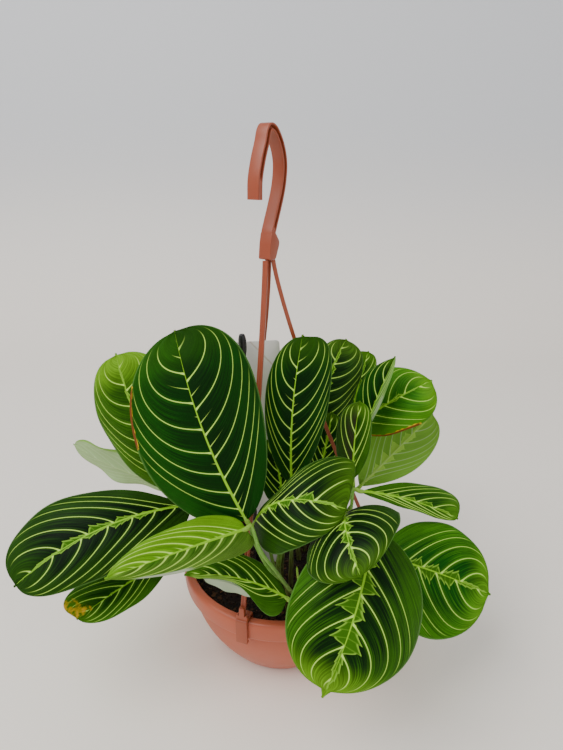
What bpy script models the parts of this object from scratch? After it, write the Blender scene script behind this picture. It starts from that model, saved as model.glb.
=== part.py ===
"""A potted maranta (prayer plant) in a moulded hanging pot with a clip-on hanger.

The model is in metres with +Z up. Its origin is the middle of the pot's base, on the surface
that the pot stands on, and +Y points away from the plant's fuller side.
"""
import math

import bmesh
import bpy
import numpy as np
from mathutils import Matrix, Vector

OBJECT_NAME = "potted_maranta"
MM = 0.001
GAP = 0.3 * MM                  # left between two pieces that touch

# Pot
RIM_RADIUS = 65.0 * MM
RIM_HEIGHT = 63.5 * MM
LIP_RADIUS = 59.6 * MM          # inner edge of the rolled lip
BAND_RADIUS = 64.5 * MM         # lower edge of the rim band
BAND_DEPTH = 12.5 * MM
BAND_BOTTOM = RIM_HEIGHT - BAND_DEPTH
BAND_STEP = 4.0 * MM            # how far the bowl stands in below the band
BASE_RADIUS = 37.0 * MM
BOWL_SWELL = 0.9                # lower makes the bowl fuller near its base
BOWL_STEPS = 7
RIM_ROUND = 1.6 * MM            # outer edges of the rim band
LIP_ROUND = 0.8 * MM            # inner edge of the lip
WALL = 1.8 * MM
ROUND_STEPS = 56
FLOOR = 2.2 * MM
DRAIN_HOLES = 6
DRAIN_RADIUS = 3.0 * MM
DRAIN_CIRCLE = 24.0 * MM

# Potting soil
SOIL_EDGE_HEIGHT = 52.0 * MM
SOIL_CROWN = 3.0 * MM           # how far the middle stands above the edge
SOIL_STEPS = 6

# Hanger
APEX = Vector((-8.0, 0.0, 261.0)) * MM      # where the three arms meet
HOOK_TURN = math.radians(55)    # the hook's plane, turned from +X
HOOK_DEPTH = 3.8 * MM           # in the hook's plane
HOOK_WIDTH = 7.4 * MM           # across that plane
HOOK_WEB = 2.4 * MM             # what the two side grooves leave of the width
HOOK_FLANGE = 1.0 * MM
HOOK_POINTS = (                 # centre line in its plane, in mm out from and above the apex
    (1, 2), (1, 12), (3.5, 19), (7, 27), (10.8, 37), (12.5, 46), (12, 53), (9.2, 60),
    (5, 65.5), (1, 67.3), (-1.6, 65.2), (-3.6, 59.5), (-6.7, 52), (-9.6, 42), (-10.2, 32),
)
COLLAR_WIDTH = 7.8 * MM
COLLAR_OUTLINE = (              # block at the shank's foot, with a lug on one side
    (-2.8, 0), (3.2, 0), (6.6, 7.5), (6.6, 9.5), (3.8, 13.5), (1.6, 15.5), (-0.4, 14.5), (-1.8, 9),
)
ARM_THICKNESS = 2.3 * MM
ARM_WIDTH = 3.0 * MM
ARM_START = 3.4 * MM            # how far from the hanger's axis an arm leaves the collar
ARM_STEPS = 11
CLIP_WIDTH = 7.0 * MM
CLIP_THICKNESS = 1.8 * MM
CLIP_EASE = 0.5 * MM            # from the rim band to the clip
CLIP_TAIL = 5.0 * MM            # how far the clip reaches down inside the pot
CLIP_CATCH = 1.4 * MM           # how far it catches under the band
# Each arm's name, where its clip sits on the rim in mm, how late it flares outwards, and how
# far to the right of the hanger's axis it starts in mm
ARMS = (
    ("front", (-22.5, -61), 1.2, 0),
    ("right", (64.3, 9.5), 1.2, 0),
    ("back", (-40.5, 51), 1.6, 2.5),
)

# Plant label and its stake
CARD_WIDTH = 27.0 * MM
CARD_HEIGHT = 158.5 * MM
CARD_THICKNESS = 0.6 * MM
CARD_TAPER = 22.0 * MM          # height of the pointed foot
CARD_POINT = 3.0 * MM           # half width of the foot's end
CARD_PLACE = (-6.5 * MM, 1.0 * MM)
CARD_TILT = math.radians(-3)
STAKE_PROFILE = (               # radius and height in mm, from its round head to its point
    (0, 164.5), (1.8, 163.9), (2.6, 161.5), (2.6, 155.5), (1.5, 151.5), (1.5, 10), (0.8, 0.4),
    (0, 0),
)
STAKE_PLACE = (-15.5 * MM, -5.0 * MM)
STAKE_TILT = math.radians(-2.5)

# Leaves
BLADE_THICKNESS = 0.6 * MM
BLADE_CLEARANCE = 1.0 * MM      # from the stalk's end to the blade's first edge
ROW_CROWDING = 0.6              # how far the blade's rows crowd towards its ends
STALK_RADIUS = 1.1 * MM
SHEATH_SHARE = 0.5              # how far up a stalk its sheath reaches
SHEATH_SWELL = 0.6              # how much thicker the sheath makes the foot
JOINT_START = 0.7               # where the joint below the blade starts along a stalk
JOINT_SWELL = 0.18              # how much thicker the joint is
STALK_SPROUT = 3.0 * MM         # a stalk leaves the soil upright for this far
STALK_RISE = 10.0 * MM          # and is still nearly upright here
BLADE_ROWS = 9                  # faces along the blade
BLADE_COLUMNS = 6               # faces across it
MIDRIB_FOLLOW = 0.35            # how far the side veins turn with a bowed midrib
TIP_SHARE = 0.88                # where the drip tip starts along the blade
DRIP_WIDTH = 0.17               # drip tip's half width, as a share of the blade's
NARROWEST = 0.8 * MM            # least half width, at the two ends


def leaf(base, tip, facing, half, foot, via=(), neck=9, arch=0, bow=0, root=(0.6, 0.6),
         point=(0.5, 0.5), widest=(0.52, 0.52), lean=(0, 0), fold=(5, 5), cup=(20, 20),
         drip=0.015):
    """One leaf's shape, in millimetres and degrees.

    base and tip are the blade's two ends. facing is the way its upper side looks: degrees
    round from -Y towards +X, and degrees up. Pairs give the left and the right half as seen
    from the base with the upper side towards the viewer: half widths, how bluntly they start
    (root) and end (point), where they are widest, how far their side veins lean forward, the
    angle they drop from the midrib (fold) and how far they curl down on the way out (cup).
    arch lifts the midrib off its chord towards facing and bow shifts it to the left.
    foot is where the stalk leaves the soil, and via are points that it passes on its way.
    neck is how long it runs in line with the midrib before the blade, and drip is how much of
    the blade's length is its pointed drip tip.
    """
    return dict(base=base, tip=tip, facing=facing, half=half, foot=foot, via=via, neck=neck,
                arch=arch, bow=bow, root=root, point=point, widest=widest, lean=lean, fold=fold,
                cup=cup, drip=drip)


LEAVES = (
    leaf(base=(-19, -58, 131), tip=(-56, -30, 229), facing=(0, 20), half=(37, 35), arch=4,
         bow=4, root=(0.48, 0.55), point=(0.5, 0.46), widest=(0.5, 0.6), lean=(0, 0.2),
         fold=(3, 5), cup=(15, 25), drip=0.01, foot=(4, -44),
         via=((2, -55, 85), (-7, -64, 104), (-14, -63, 119)), neck=4),
    leaf(base=(-66, -5, 117), tip=(-102, 15, 201), facing=(-15, 20), half=(28, 32), arch=6,
         bow=2, root=(0.55, 0.6), point=(0.4, 0.4), widest=(0.62, 0.6), cup=(30, 20),
         foot=(-34, -4)),
    leaf(base=(-66, 20, 101), tip=(-149, 45, 122), facing=(185, 18), half=(17, 12), arch=-5,
         widest=(0.52, 0.66), cup=(10, 10), foot=(-30, 12)),
    leaf(base=(-56, -25, 118), tip=(-147, -66, 93), facing=(15, 50), half=(25, 29), arch=12,
         bow=-6, root=(0.5, 1.1), point=(0.5, 0.36), widest=(0.5, 0.66), lean=(0, 0.3),
         fold=(8, 8), cup=(35, 35), foot=(-28, -16)),
    leaf(base=(-73, -20, 74), tip=(-119, -59, 63), facing=(0, 65), half=(14, 20), arch=2,
         point=(0.5, 0.3), lean=(0, 0.5), foot=(-40, -14)),
    leaf(base=(-19, -66, 131), tip=(-82, -104, 131), facing=(-30, 30), half=(15.5, 14), arch=3,
         root=(0.3, 0.45), point=(0.7, 0.7), widest=(0.25, 0.35), lean=(-0.8, 0), fold=(-35, 5),
         cup=(30, 30), foot=(8, -40), via=((5, -60, 85), (-3, -69, 106), (-11, -71, 121)),
         neck=3),
    leaf(base=(3, -64, 83), tip=(-53, -66, 101), facing=(-20, 50), half=(13, 14), arch=4, bow=-4,
         root=(0.3, 0.9), point=(7, 0.6), widest=(0.12, 0.5), cup=(40, 40), foot=(8, -48)),
    leaf(base=(6, -25, 133), tip=(12, -8, 220), facing=(5, 15), half=(16.5, 22), arch=3, bow=3,
         root=(0.7, 0.65), point=(0.5, 0.3), widest=(0.6, 0.6), lean=(0, 0.2), cup=(30, 30),
         foot=(6, -22)),
    leaf(base=(29, 20, 146), tip=(42, 35, 204), facing=(10, 20), half=(14, 22), arch=2, bow=6,
         root=(0.6, 0.5), point=(0.4, 0.4), widest=(0.6, 0.6), cup=(30, 30), foot=(16, 14)),
    leaf(base=(48, 40, 144), tip=(60, 55, 189), facing=(20, 20), half=(12, 12), arch=2, bow=2,
         point=(0.35, 0.35), widest=(0.6, 0.6), cup=(30, 30), foot=(24, 24)),
    leaf(base=(44, -12, 129), tip=(46, -10, 180), facing=(0, 20), half=(12, 10.5), bow=1,
         root=(0.6, 0.7), point=(0.45, 0.45), fold=(10, 10), cup=(60, 40),
         foot=(25, -6), via=((39, -9, 108),)),
    leaf(base=(53, 10, 150), tip=(71, 18, 198), facing=(-25, 15), half=(14, 8), arch=2,
         point=(1.0, 0.5), fold=(10, 60), cup=(30, 10), foot=(27, 14), via=((42, 14, 108),)),
    leaf(base=(51, 28, 146), tip=(96, 20, 181), facing=(10, 55), half=(25, 22), arch=4,
         root=(0.5, 0.45), point=(0.85, 0.33), widest=(0.55, 0.68), cup=(30, 30), foot=(30, 23)),
    leaf(base=(54, 20, 103), tip=(103, 35, 151), facing=(150, -10), half=(18.5, 20), arch=2,
         root=(1.0, 0.7), point=(0.4, 0.4), widest=(0.6, 0.6), cup=(5, 5), foot=(36, 12)),
    leaf(base=(49, -16, 122), tip=(112, -12, 99), facing=(0, 55), half=(17, 6), arch=3, bow=2,
         root=(1.0, 0.6), point=(0.3, 0.5), widest=(0.85, 0.6), lean=(0.4, 0), cup=(30, 30),
         foot=(34, -22), via=((42, -21, 108),), neck=4),
    leaf(base=(-15, -50, 123), tip=(34, -68, 144), facing=(8, 48), half=(37, 26), arch=14,
         bow=6, root=(4.5, 0.4), point=(0.35, 0.55), widest=(0.93, 0.38), lean=(0.3, 0),
         cup=(55, 30), foot=(-2, -36), via=((-9, -44, 110),), neck=4),
    leaf(base=(35, -58, 135), tip=(37, -103, 131), facing=(-45, 55), half=(29, 28), arch=9,
         root=(0.35, 0.9), point=(0.5, 0.45), widest=(0.4, 0.55), lean=(-0.1, 0.1), fold=(8, 8),
         cup=(50, 50), foot=(22, -34)),
    leaf(base=(47, -72, 135), tip=(20, -112, 66), facing=(5, 40), half=(37.5, 33.5), arch=8,
         bow=2, root=(0.5, 0.5), point=(0.55, 0.45), widest=(0.5, 0.55), cup=(40, 40),
         drip=0.055, foot=(28, -40), neck=4),
    leaf(base=(62, -30, 85), tip=(123, -50, 73), facing=(10, 50), half=(34, 37), arch=5,
         root=(0.5, 0.5), point=(0.45, 0.45), widest=(0.5, 0.5), cup=(30, 30), drip=0.03,
         foot=(38, -22)),
    leaf(base=(2, -20, 111), tip=(-6, -5, 154), facing=(10, 25), half=(12, 15), arch=3,
         foot=(0, -14)),
    leaf(base=(24, 10, 113), tip=(33, 20, 159), facing=(0, 20), half=(13, 13), arch=3,
         foot=(12, 4)),
    leaf(base=(-14, -62, 83), tip=(-44, -58, 92), facing=(180, 0), half=(7, 6), arch=3,
         fold=(10, 10), foot=(-12, -34), neck=3),
    leaf(base=(-20, 40, 120), tip=(-50, 80, 185), facing=(200, 35), half=(26, 26), arch=6,
         foot=(-12, 24)),
    leaf(base=(20, 55, 110), tip=(45, 125, 120), facing=(190, 65), half=(27, 27), arch=14,
         cup=(35, 35), foot=(10, 34)),
    leaf(base=(-35, 55, 90), tip=(-75, 115, 85), facing=(160, 60), half=(26, 26), arch=12,
         cup=(35, 35), foot=(-20, 36)),
)

# A young shoot still rolled up: its path in mm, and its radius at each point
SHOOTS = (
    ((13, -45, 54.2), (13, -46, 60), (12, -53, 76), (9.5, -58, 90), (8.5, -59, 101)),
    ((-2, -28, 55), (-2, -28.5, 62), (-2, -33, 80), (0, -38, 100), (1, -40, 118)),
)
SHOOT_RADII = (1.5, 1.5, 1.8, 1.7, 0.3)


# ---------------------------------------------------------------- scene and materials

def clear_scene():
    for old in list(bpy.data.objects):
        bpy.data.objects.remove(old)


def new_collection(name):
    collection = bpy.data.collections.new(name)
    bpy.context.scene.collection.children.link(collection)
    return collection


def new_material(name, colour, roughness, metallic=0.0):
    material = bpy.data.materials.new(name)
    material.use_nodes = True
    shader = material.node_tree.nodes["Principled BSDF"]
    shader.inputs["Base Color"].default_value = (*colour, 1.0)
    shader.inputs["Roughness"].default_value = roughness
    shader.inputs["Metallic"].default_value = metallic
    return material


def place_in(collection, thing):
    for old in list(thing.users_collection):
        old.objects.unlink(thing)
    collection.objects.link(thing)
    return thing


def mesh_object(name, collection, build):
    """Make an object whose mesh is filled by build(bm)."""
    bm = bmesh.new()
    build(bm)
    mesh = bpy.data.meshes.new(name)
    bm.to_mesh(mesh)
    bm.free()
    return place_in(collection, bpy.data.objects.new(name, mesh))


def to_mesh(curve, collection):
    """Turn a curve object into a closed mesh object of the same name."""
    depsgraph = bpy.context.evaluated_depsgraph_get()
    mesh = bpy.data.meshes.new_from_object(curve.evaluated_get(depsgraph))
    bm = bmesh.new()
    bm.from_mesh(mesh)
    bmesh.ops.remove_doubles(bm, verts=bm.verts, dist=1e-6)
    bm.to_mesh(mesh)
    bm.free()
    name = curve.name
    matrix = curve.matrix_world.copy()
    bpy.data.objects.remove(curve)
    solid = bpy.data.objects.new(name, mesh)
    solid.matrix_world = matrix
    return place_in(collection, solid)


def smooth(thing, material, angle=35):
    thing.data.materials.clear()
    thing.data.materials.append(material)
    thing.data.shade_smooth()
    thing.data.set_sharp_from_angle(angle=math.radians(angle))
    return thing


def turned(name, profile, steps, collection):
    """Spin a profile of (radius, height) points round Z. It runs down the outer side."""
    def build(bm):
        points = [bm.verts.new((radius, 0, height)) for radius, height in profile]
        for first, second in zip(points, points[1:]):
            bm.edges.new((first, second))
    thing = mesh_object(name, collection, build)
    screw = thing.modifiers.new("spin", "SCREW")
    screw.steps = steps
    screw.render_steps = steps
    screw.use_merge_vertices = True
    screw.merge_threshold = 1e-5
    return thing


def flat_outline(name, outline, thickness, collection):
    """A closed (x, y) outline given a thickness along local Z, both ways from the plane."""
    curve = bpy.data.curves.new(name, "CURVE")
    curve.dimensions = "2D"
    curve.fill_mode = "BOTH"
    curve.extrude = thickness / 2
    spline = curve.splines.new("POLY")
    spline.points.add(len(outline) - 1)
    for point, (x, y) in zip(spline.points, outline):
        point.co = (x, y, 0, 1)
    spline.use_cyclic_u = True
    return place_in(collection, bpy.data.objects.new(name, curve))


def tube(name, path, radii, collection):
    """A round stalk along path, with its own radius at each point."""
    curve = bpy.data.curves.new(name, "CURVE")
    curve.dimensions = "3D"
    curve.bevel_depth = 1.0
    curve.bevel_resolution = 1
    curve.use_fill_caps = True
    spline = curve.splines.new("POLY")
    spline.points.add(len(path) - 1)
    for point, place, radius in zip(spline.points, path, radii):
        point.co = (*place, 1)
        point.radius = radius
    return place_in(collection, bpy.data.objects.new(name, curve))


def join(solid, other):
    """Boolean union of two mesh objects that overlap, kept as a plain mesh."""
    union = solid.modifiers.new("join", "BOOLEAN")
    union.operation = "UNION"
    union.object = other
    bake_modifiers(solid)
    bpy.data.objects.remove(other)
    return solid


def bake_modifiers(thing):
    depsgraph = bpy.context.evaluated_depsgraph_get()
    mesh = bpy.data.meshes.new_from_object(thing.evaluated_get(depsgraph))
    thing.modifiers.clear()
    thing.data = mesh


def cut(solid, cutter, cutters):
    """Cut a hidden cutter out of a solid."""
    place_in(cutters, cutter)
    cutter.hide_render = True
    cutter.display_type = "WIRE"
    difference = solid.modifiers.new("cut", "BOOLEAN")
    difference.operation = "DIFFERENCE"
    difference.object = cutter


# ---------------------------------------------------------------- pot and soil

def pot_outer_radius(height):
    """The bowl's outside, from the base up to the rim band."""
    share = min(max(height / BAND_BOTTOM, 0.0), 1.0)
    swell = math.sin(share * math.pi / 2) ** BOWL_SWELL
    return BASE_RADIUS + (BAND_RADIUS - BAND_STEP - BASE_RADIUS) * swell


def bowl_heights():
    return [BAND_BOTTOM * k / BOWL_STEPS for k in range(BOWL_STEPS + 1)]


def pot_inner_wall():
    """The inside, from the floor's edge up to the rim band, as (radius, height)."""
    return [(pot_outer_radius(h) - WALL, max(h, FLOOR)) for h in bowl_heights()]


def pot_profile():
    """Up the inside, over the rim band, and down the outside."""
    rim = [
        (LIP_RADIUS, BAND_BOTTOM + BAND_DEPTH / 4),
        (LIP_RADIUS, RIM_HEIGHT - LIP_ROUND),
        (LIP_RADIUS + LIP_ROUND, RIM_HEIGHT),
        (RIM_RADIUS - RIM_ROUND, RIM_HEIGHT),
        (RIM_RADIUS, RIM_HEIGHT - RIM_ROUND),
        (BAND_RADIUS, BAND_BOTTOM),
        (BAND_RADIUS - RIM_ROUND, BAND_BOTTOM - RIM_ROUND / 4),
    ]
    outer = [(pot_outer_radius(h), h) for h in reversed(bowl_heights()[:-1])]
    return [(0, FLOOR)] + pot_inner_wall() + rim + outer + [(0, 0)]


def build_pot(collection, cutters, material):
    pot = turned("pot", pot_profile(), ROUND_STEPS, collection)
    for k in range(DRAIN_HOLES):
        angle = 2 * math.pi * (k + 0.5) / DRAIN_HOLES
        bpy.ops.mesh.primitive_cylinder_add(
            vertices=12, radius=DRAIN_RADIUS, depth=4 * FLOOR,
            location=(DRAIN_CIRCLE * math.cos(angle), DRAIN_CIRCLE * math.sin(angle), 0))
        cutter = bpy.context.object
        cutter.name = f"drain_cutter_{k + 1}"
        cut(pot, cutter, cutters)
    return smooth(pot, material)


def soil_height(radius):
    """Height of the soil's surface at this distance from the pot's axis."""
    share = min(radius / LIP_RADIUS, 1.0)
    return SOIL_EDGE_HEIGHT + SOIL_CROWN * (1 - share ** 2)


def build_soil(collection, material):
    """The root ball: the pot's inside, a gap short of its wall and floor."""
    wall = [(radius - 1.5 * GAP, height + GAP) for radius, height in reversed(pot_inner_wall())]
    edge = wall[0][0]
    rings = [edge * k / SOIL_STEPS for k in range(SOIL_STEPS + 1)]
    top = [(radius, soil_height(radius)) for radius in rings]
    soil = turned("potting_soil", top + wall[1:] + [(0, FLOOR + GAP)], ROUND_STEPS, collection)
    return smooth(soil, material)


# ---------------------------------------------------------------- hanger

def arm_centre(reach, flare, top, bottom, share):
    """A point on an arm, as (distance out from the apex, height)."""
    out = ARM_START + (reach - ARM_START) * share ** flare
    return out, top + (bottom - top) * share


def build_arm(name, clip, flare, shift, collection, material):
    """A bar that leaves the apex downwards, bows out to the rim, and hooks over its band."""
    apex = Vector((APEX.x + shift * MM, APEX.y))
    clip = Vector(clip) * MM
    out = (clip - apex).normalized()
    lean = clip.normalized()
    reach = (clip - apex).length
    top = APEX.z - GAP
    seat = RIM_HEIGHT + GAP + ARM_THICKNESS / 2
    path = [arm_centre(reach, flare, top, seat, k / ARM_STEPS) for k in range(ARM_STEPS + 1)]
    outline = thick_line(path, ARM_THICKNESS / 2)
    arm = flat_outline(name, outline, ARM_WIDTH, collection)
    arm.matrix_world = upright_plane(Vector((apex.x, apex.y, 0)), out)
    bpy.context.view_layer.update()
    arm = to_mesh(arm, collection)
    strap = flat_outline(name + "_strap", strap_outline(), CLIP_WIDTH, collection)
    strap.matrix_world = upright_plane(Vector((0, 0, 0)), Vector((lean.x, lean.y)))
    bpy.context.view_layer.update()
    strap = to_mesh(strap, collection)
    bake_transform(arm)
    bake_transform(strap)
    return smooth(join(arm, strap), material)


def strap_outline():
    """The clip over the rim band, as (distance from the pot's axis, height)."""
    inside = LIP_RADIUS - GAP
    outside = RIM_RADIUS + CLIP_EASE
    over = RIM_HEIGHT + GAP
    under = BAND_BOTTOM - 2 * GAP
    return [
        (inside - CLIP_THICKNESS, over - CLIP_TAIL), (inside, over - CLIP_TAIL), (inside, over),
        (outside, over), (outside, under), (outside - CLIP_CATCH, under - CLIP_CATCH / 2),
        (outside - CLIP_CATCH, under - CLIP_CATCH), (outside + CLIP_THICKNESS, under - CLIP_CATCH),
        (outside + CLIP_THICKNESS, over + CLIP_THICKNESS),
        (inside - CLIP_THICKNESS, over + CLIP_THICKNESS),
    ]


def upright_plane(origin, out):
    """Matrix that takes local X to the level direction out and local Y to +Z."""
    x = Vector((out.x, out.y, 0)).normalized()
    y = Vector((0, 0, 1))
    z = x.cross(y)
    rotation = Matrix((x, y, z)).transposed().to_4x4()
    return Matrix.Translation(origin) @ rotation


def bake_transform(thing):
    thing.data.transform(thing.matrix_world)
    thing.matrix_world = Matrix.Identity(4)


def thick_line(path, half):
    """The closed outline of a line of (x, y) points given a half thickness."""
    points = [Vector(p) for p in path]
    left = []
    right = []
    for k, point in enumerate(points):
        before = points[max(k - 1, 0)]
        after = points[min(k + 1, len(points) - 1)]
        along = (after - before).normalized()
        side = Vector((-along.y, along.x)) * half
        left.append(point + side)
        right.append(point - side)
    return [tuple(p) for p in left + right[::-1]]


def hook_line(start, end):
    """The hook's centre line between two of its points, smoothed, as (across, height)."""
    points = [np.array(point, float) * MM for point in HOOK_POINTS[start:end]]
    return smooth_path(points, 2)


def ribbon(name, line, thickness, width, plane, collection):
    """A strip along line in the hook's plane, as a closed mesh."""
    strip = flat_outline(name, thick_line(line, thickness / 2), width, collection)
    strip.matrix_world = plane
    bpy.context.view_layer.update()
    strip = to_mesh(strip, collection)
    bake_transform(strip)
    return strip


def build_hook(collection, cutters, material):
    """A question-mark hook with a groove down both sides, standing on the arms' collar."""
    plane = upright_plane(APEX, Vector((math.cos(HOOK_TURN), math.sin(HOOK_TURN))))
    last = len(HOOK_POINTS)
    hook = ribbon("hanger_hook", hook_line(0, last), HOOK_DEPTH, HOOK_WIDTH, plane, collection)
    groove_depth = (HOOK_WIDTH - HOOK_WEB) / 2
    for side in (-1, 1):
        middle = side * (HOOK_WIDTH / 2 - groove_depth / 2 + GAP)
        groove = ribbon(f"groove_cutter_{side + 2}", hook_line(2, last - 1),
                        HOOK_DEPTH - 2 * HOOK_FLANGE, groove_depth + 2 * GAP,
                        plane @ Matrix.Translation((0, 0, middle)), cutters)
        cut(hook, groove, cutters)
    bake_modifiers(hook)
    outline = [(x * MM, y * MM) for x, y in COLLAR_OUTLINE]
    collar = flat_outline("collar", outline, COLLAR_WIDTH, collection)
    collar.matrix_world = plane
    bpy.context.view_layer.update()
    collar = to_mesh(collar, collection)
    bake_transform(collar)
    return smooth(join(hook, collar), material)


# ---------------------------------------------------------------- label

def build_label(collection, card_material, stake_material):
    """A blank stick-in label, and the round-headed stake beside it."""
    half = CARD_WIDTH / 2
    outline = [(-CARD_POINT, 0), (CARD_POINT, 0), (half, CARD_TAPER), (half, CARD_HEIGHT),
               (-half, CARD_HEIGHT), (-half, CARD_TAPER)]
    card = flat_outline("label_card", outline, CARD_THICKNESS, collection)
    foot = soil_height(math.hypot(*STAKE_PLACE)) + GAP
    card.matrix_world = (Matrix.Translation((CARD_PLACE[0], CARD_PLACE[1], foot)) @
                         Matrix.Rotation(CARD_TILT, 4, "Y") @
                         Matrix.Rotation(math.radians(90), 4, "X"))
    bpy.context.view_layer.update()
    card = to_mesh(card, collection)
    bake_transform(card)
    smooth(card, card_material)
    profile = [(radius * MM, height * MM) for radius, height in STAKE_PROFILE]
    stake = turned("label_stake", profile, 12, collection)
    stake.location = (STAKE_PLACE[0], STAKE_PLACE[1], foot)
    stake.rotation_euler = (0, STAKE_TILT, 0)
    return card, smooth(stake, stake_material)


# ---------------------------------------------------------------- leaves

def unit(vector):
    return vector / np.linalg.norm(vector)


def half_width(share, widest, root, point, drip):
    """A blade half's width at this share of its length, from 0 to 1."""
    before = max((widest - share) / widest, 0.0)
    after = min(max((share - widest) / (1 - drip - widest), 0.0), 1.0)
    body = (1 - before ** 2) ** root * (1 - after ** 2) ** point
    spur = DRIP_WIDTH * min((1 - share) / (1 - TIP_SHARE), 1.0) * min(2 * share, 1.0)
    return (body ** 3 + spur ** 3) ** (1 / 3)


class Blade:
    """A leaf blade's middle surface, as points in metres."""

    def __init__(self, shape):
        self.shape = shape
        self.base = np.array(shape["base"], float) * MM
        self.tip = np.array(shape["tip"], float) * MM
        self.chord = unit(self.tip - self.base)
        around, up = np.radians(shape["facing"])
        self.facing = np.array((math.sin(around) * math.cos(up), -math.cos(around) * math.cos(up),
                                math.sin(up)))
        self.lift = unit(self.facing - self.chord * (self.facing @ self.chord))
        self.left = np.cross(self.lift, self.chord)

    def midrib(self, share):
        rise = 4 * share * (1 - share) * MM
        return (self.base + (self.tip - self.base) * share + self.lift * self.shape["arch"] * rise
                + self.left * self.shape["bow"] * rise)

    def along(self, share):
        step = 1e-4
        return unit(self.midrib(share + step) - self.midrib(share - step))

    def surface(self, share, across):
        """share runs 0 to 1 from base to tip, and across from -1 (right) to 1 (left)."""
        side = 0 if across > 0 else 1
        shape = self.shape
        along = self.along(share)
        turning = unit(MIDRIB_FOLLOW * along + (1 - MIDRIB_FOLLOW) * self.chord)
        left = unit(np.cross(self.facing, turning))
        up = unit(np.cross(along, left))
        half = shape["half"][side] * MM
        width = half_width(share, shape["widest"][side], shape["root"][side], shape["point"][side],
                           shape["drip"])
        out = abs(across) * max(width * half, NARROWEST)
        fold = math.radians(shape["fold"][side])
        curl = math.radians(shape["cup"][side]) / half
        level = (math.sin(fold) - math.sin(fold - curl * out)) / curl
        drop = (math.cos(fold - curl * out) - math.cos(fold)) / curl
        level *= 1 if across > 0 else -1
        return self.midrib(share) + left * level + up * drop + along * shape["lean"][side] * out


def build_blade(number, shape, collection, material):
    blade = Blade(shape)

    def build(bm):
        bmesh.ops.create_grid(bm, x_segments=BLADE_ROWS, y_segments=BLADE_COLUMNS, size=1)
        for vert in bm.verts:
            step = (vert.co.x + 1) / 2
            crowded = 0.5 - 0.5 * math.cos(math.pi * step)
            share = ROW_CROWDING * crowded + (1 - ROW_CROWDING) * step
            vert.co = Vector(blade.surface(share, vert.co.y))

    thing = mesh_object(f"leaf_{number:02d}_blade", collection, build)
    shell = thing.modifiers.new("thickness", "SOLIDIFY")
    shell.thickness = BLADE_THICKNESS
    shell.offset = 0
    return smooth(thing, material, 60)


def smooth_path(points, steps):
    """Catmull-Rom points through the given ones, steps to each span."""
    ends = [2 * points[0] - points[1]] + points + [2 * points[-1] - points[-2]]
    path = []
    for a, b, c, d in zip(ends, ends[1:], ends[2:], ends[3:]):
        for k in range(steps):
            t = k / steps
            path.append(0.5 * (2 * b + (c - a) * t + (2 * a - 5 * b + 4 * c - d) * t ** 2
                               + (3 * b - a - 3 * c + d) * t ** 3))
    return path + [points[-1]]


def stalk_path(shape):
    """From the soil, through the points it passes, into line with the midrib."""
    blade = Blade(shape)
    x, y = shape["foot"]
    foot = np.array((x * MM, y * MM, soil_height(math.hypot(x, y) * MM) + 2 * GAP))
    sprout = foot + np.array((0, 0, STALK_SPROUT))
    rise = foot + np.array((0, 0, STALK_RISE))
    end = blade.base - blade.along(0.001) * BLADE_CLEARANCE
    bend = end - blade.along(0.001) * shape["neck"] * MM
    via = [np.array(point, float) * MM for point in shape["via"]]
    return [foot] + smooth_path([sprout, rise] + via + [bend, end], 3)


def stalk_radius(share):
    """Thicker where it is sheathed at its foot, and at the swollen joint below the blade."""
    sheath = SHEATH_SWELL * max(1 - share / SHEATH_SHARE, 0)
    joint = JOINT_SWELL if share > JOINT_START else 0.0
    return STALK_RADIUS * (1 + sheath + joint)


def build_stalk(number, shape, collection, material):
    path = stalk_path(shape)
    last = len(path) - 1
    radii = [stalk_radius(k / last) for k in range(last + 1)]
    stalk = tube(f"leaf_{number:02d}_stalk", path, radii, collection)
    stalk.data.materials.append(material)
    return stalk


def build_leaves(collection, blade_material, stalk_material):
    for number, shape in enumerate(LEAVES, start=1):
        build_blade(number, shape, collection, blade_material)
        build_stalk(number, shape, collection, stalk_material)


def build_shoots(collection, material):
    for number, points in enumerate(SHOOTS, start=1):
        path = [np.array(point) * MM for point in points]
        radii = [radius * MM for radius in SHOOT_RADII]
        shoot = tube(f"young_shoot_{number}", path, radii, collection)
        shoot.data.materials.append(material)


def main():
    clear_scene()
    parts = new_collection(OBJECT_NAME)
    cutters = new_collection("cutters")
    terracotta = new_material("terracotta_plastic", (0.46, 0.13, 0.075), 0.35)
    soil = new_material("potting_soil", (0.011, 0.008, 0.006), 0.95)
    green = new_material("leaf_green", (0.02, 0.11, 0.012), 0.4)
    stalk = new_material("stalk_green", (0.26, 0.45, 0.1), 0.5)
    white = new_material("label_white", (0.75, 0.75, 0.73), 0.4)
    black = new_material("stake_black", (0.02, 0.02, 0.02), 0.4)
    build_pot(parts, cutters, terracotta)
    build_soil(parts, soil)
    build_hook(parts, cutters, terracotta)
    for name, clip, flare, shift in ARMS:
        build_arm(f"hanger_arm_{name}", clip, flare, shift, parts, terracotta)
    build_label(parts, white, black)
    build_leaves(parts, green, stalk)
    build_shoots(parts, stalk)


main()
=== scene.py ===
"""A potted maranta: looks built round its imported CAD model."""

import math
from contextlib import contextmanager
from functools import partial
from typing import NamedTuple

import bmesh
import bpy
import numpy as np
from mathutils import Matrix, Vector


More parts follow.
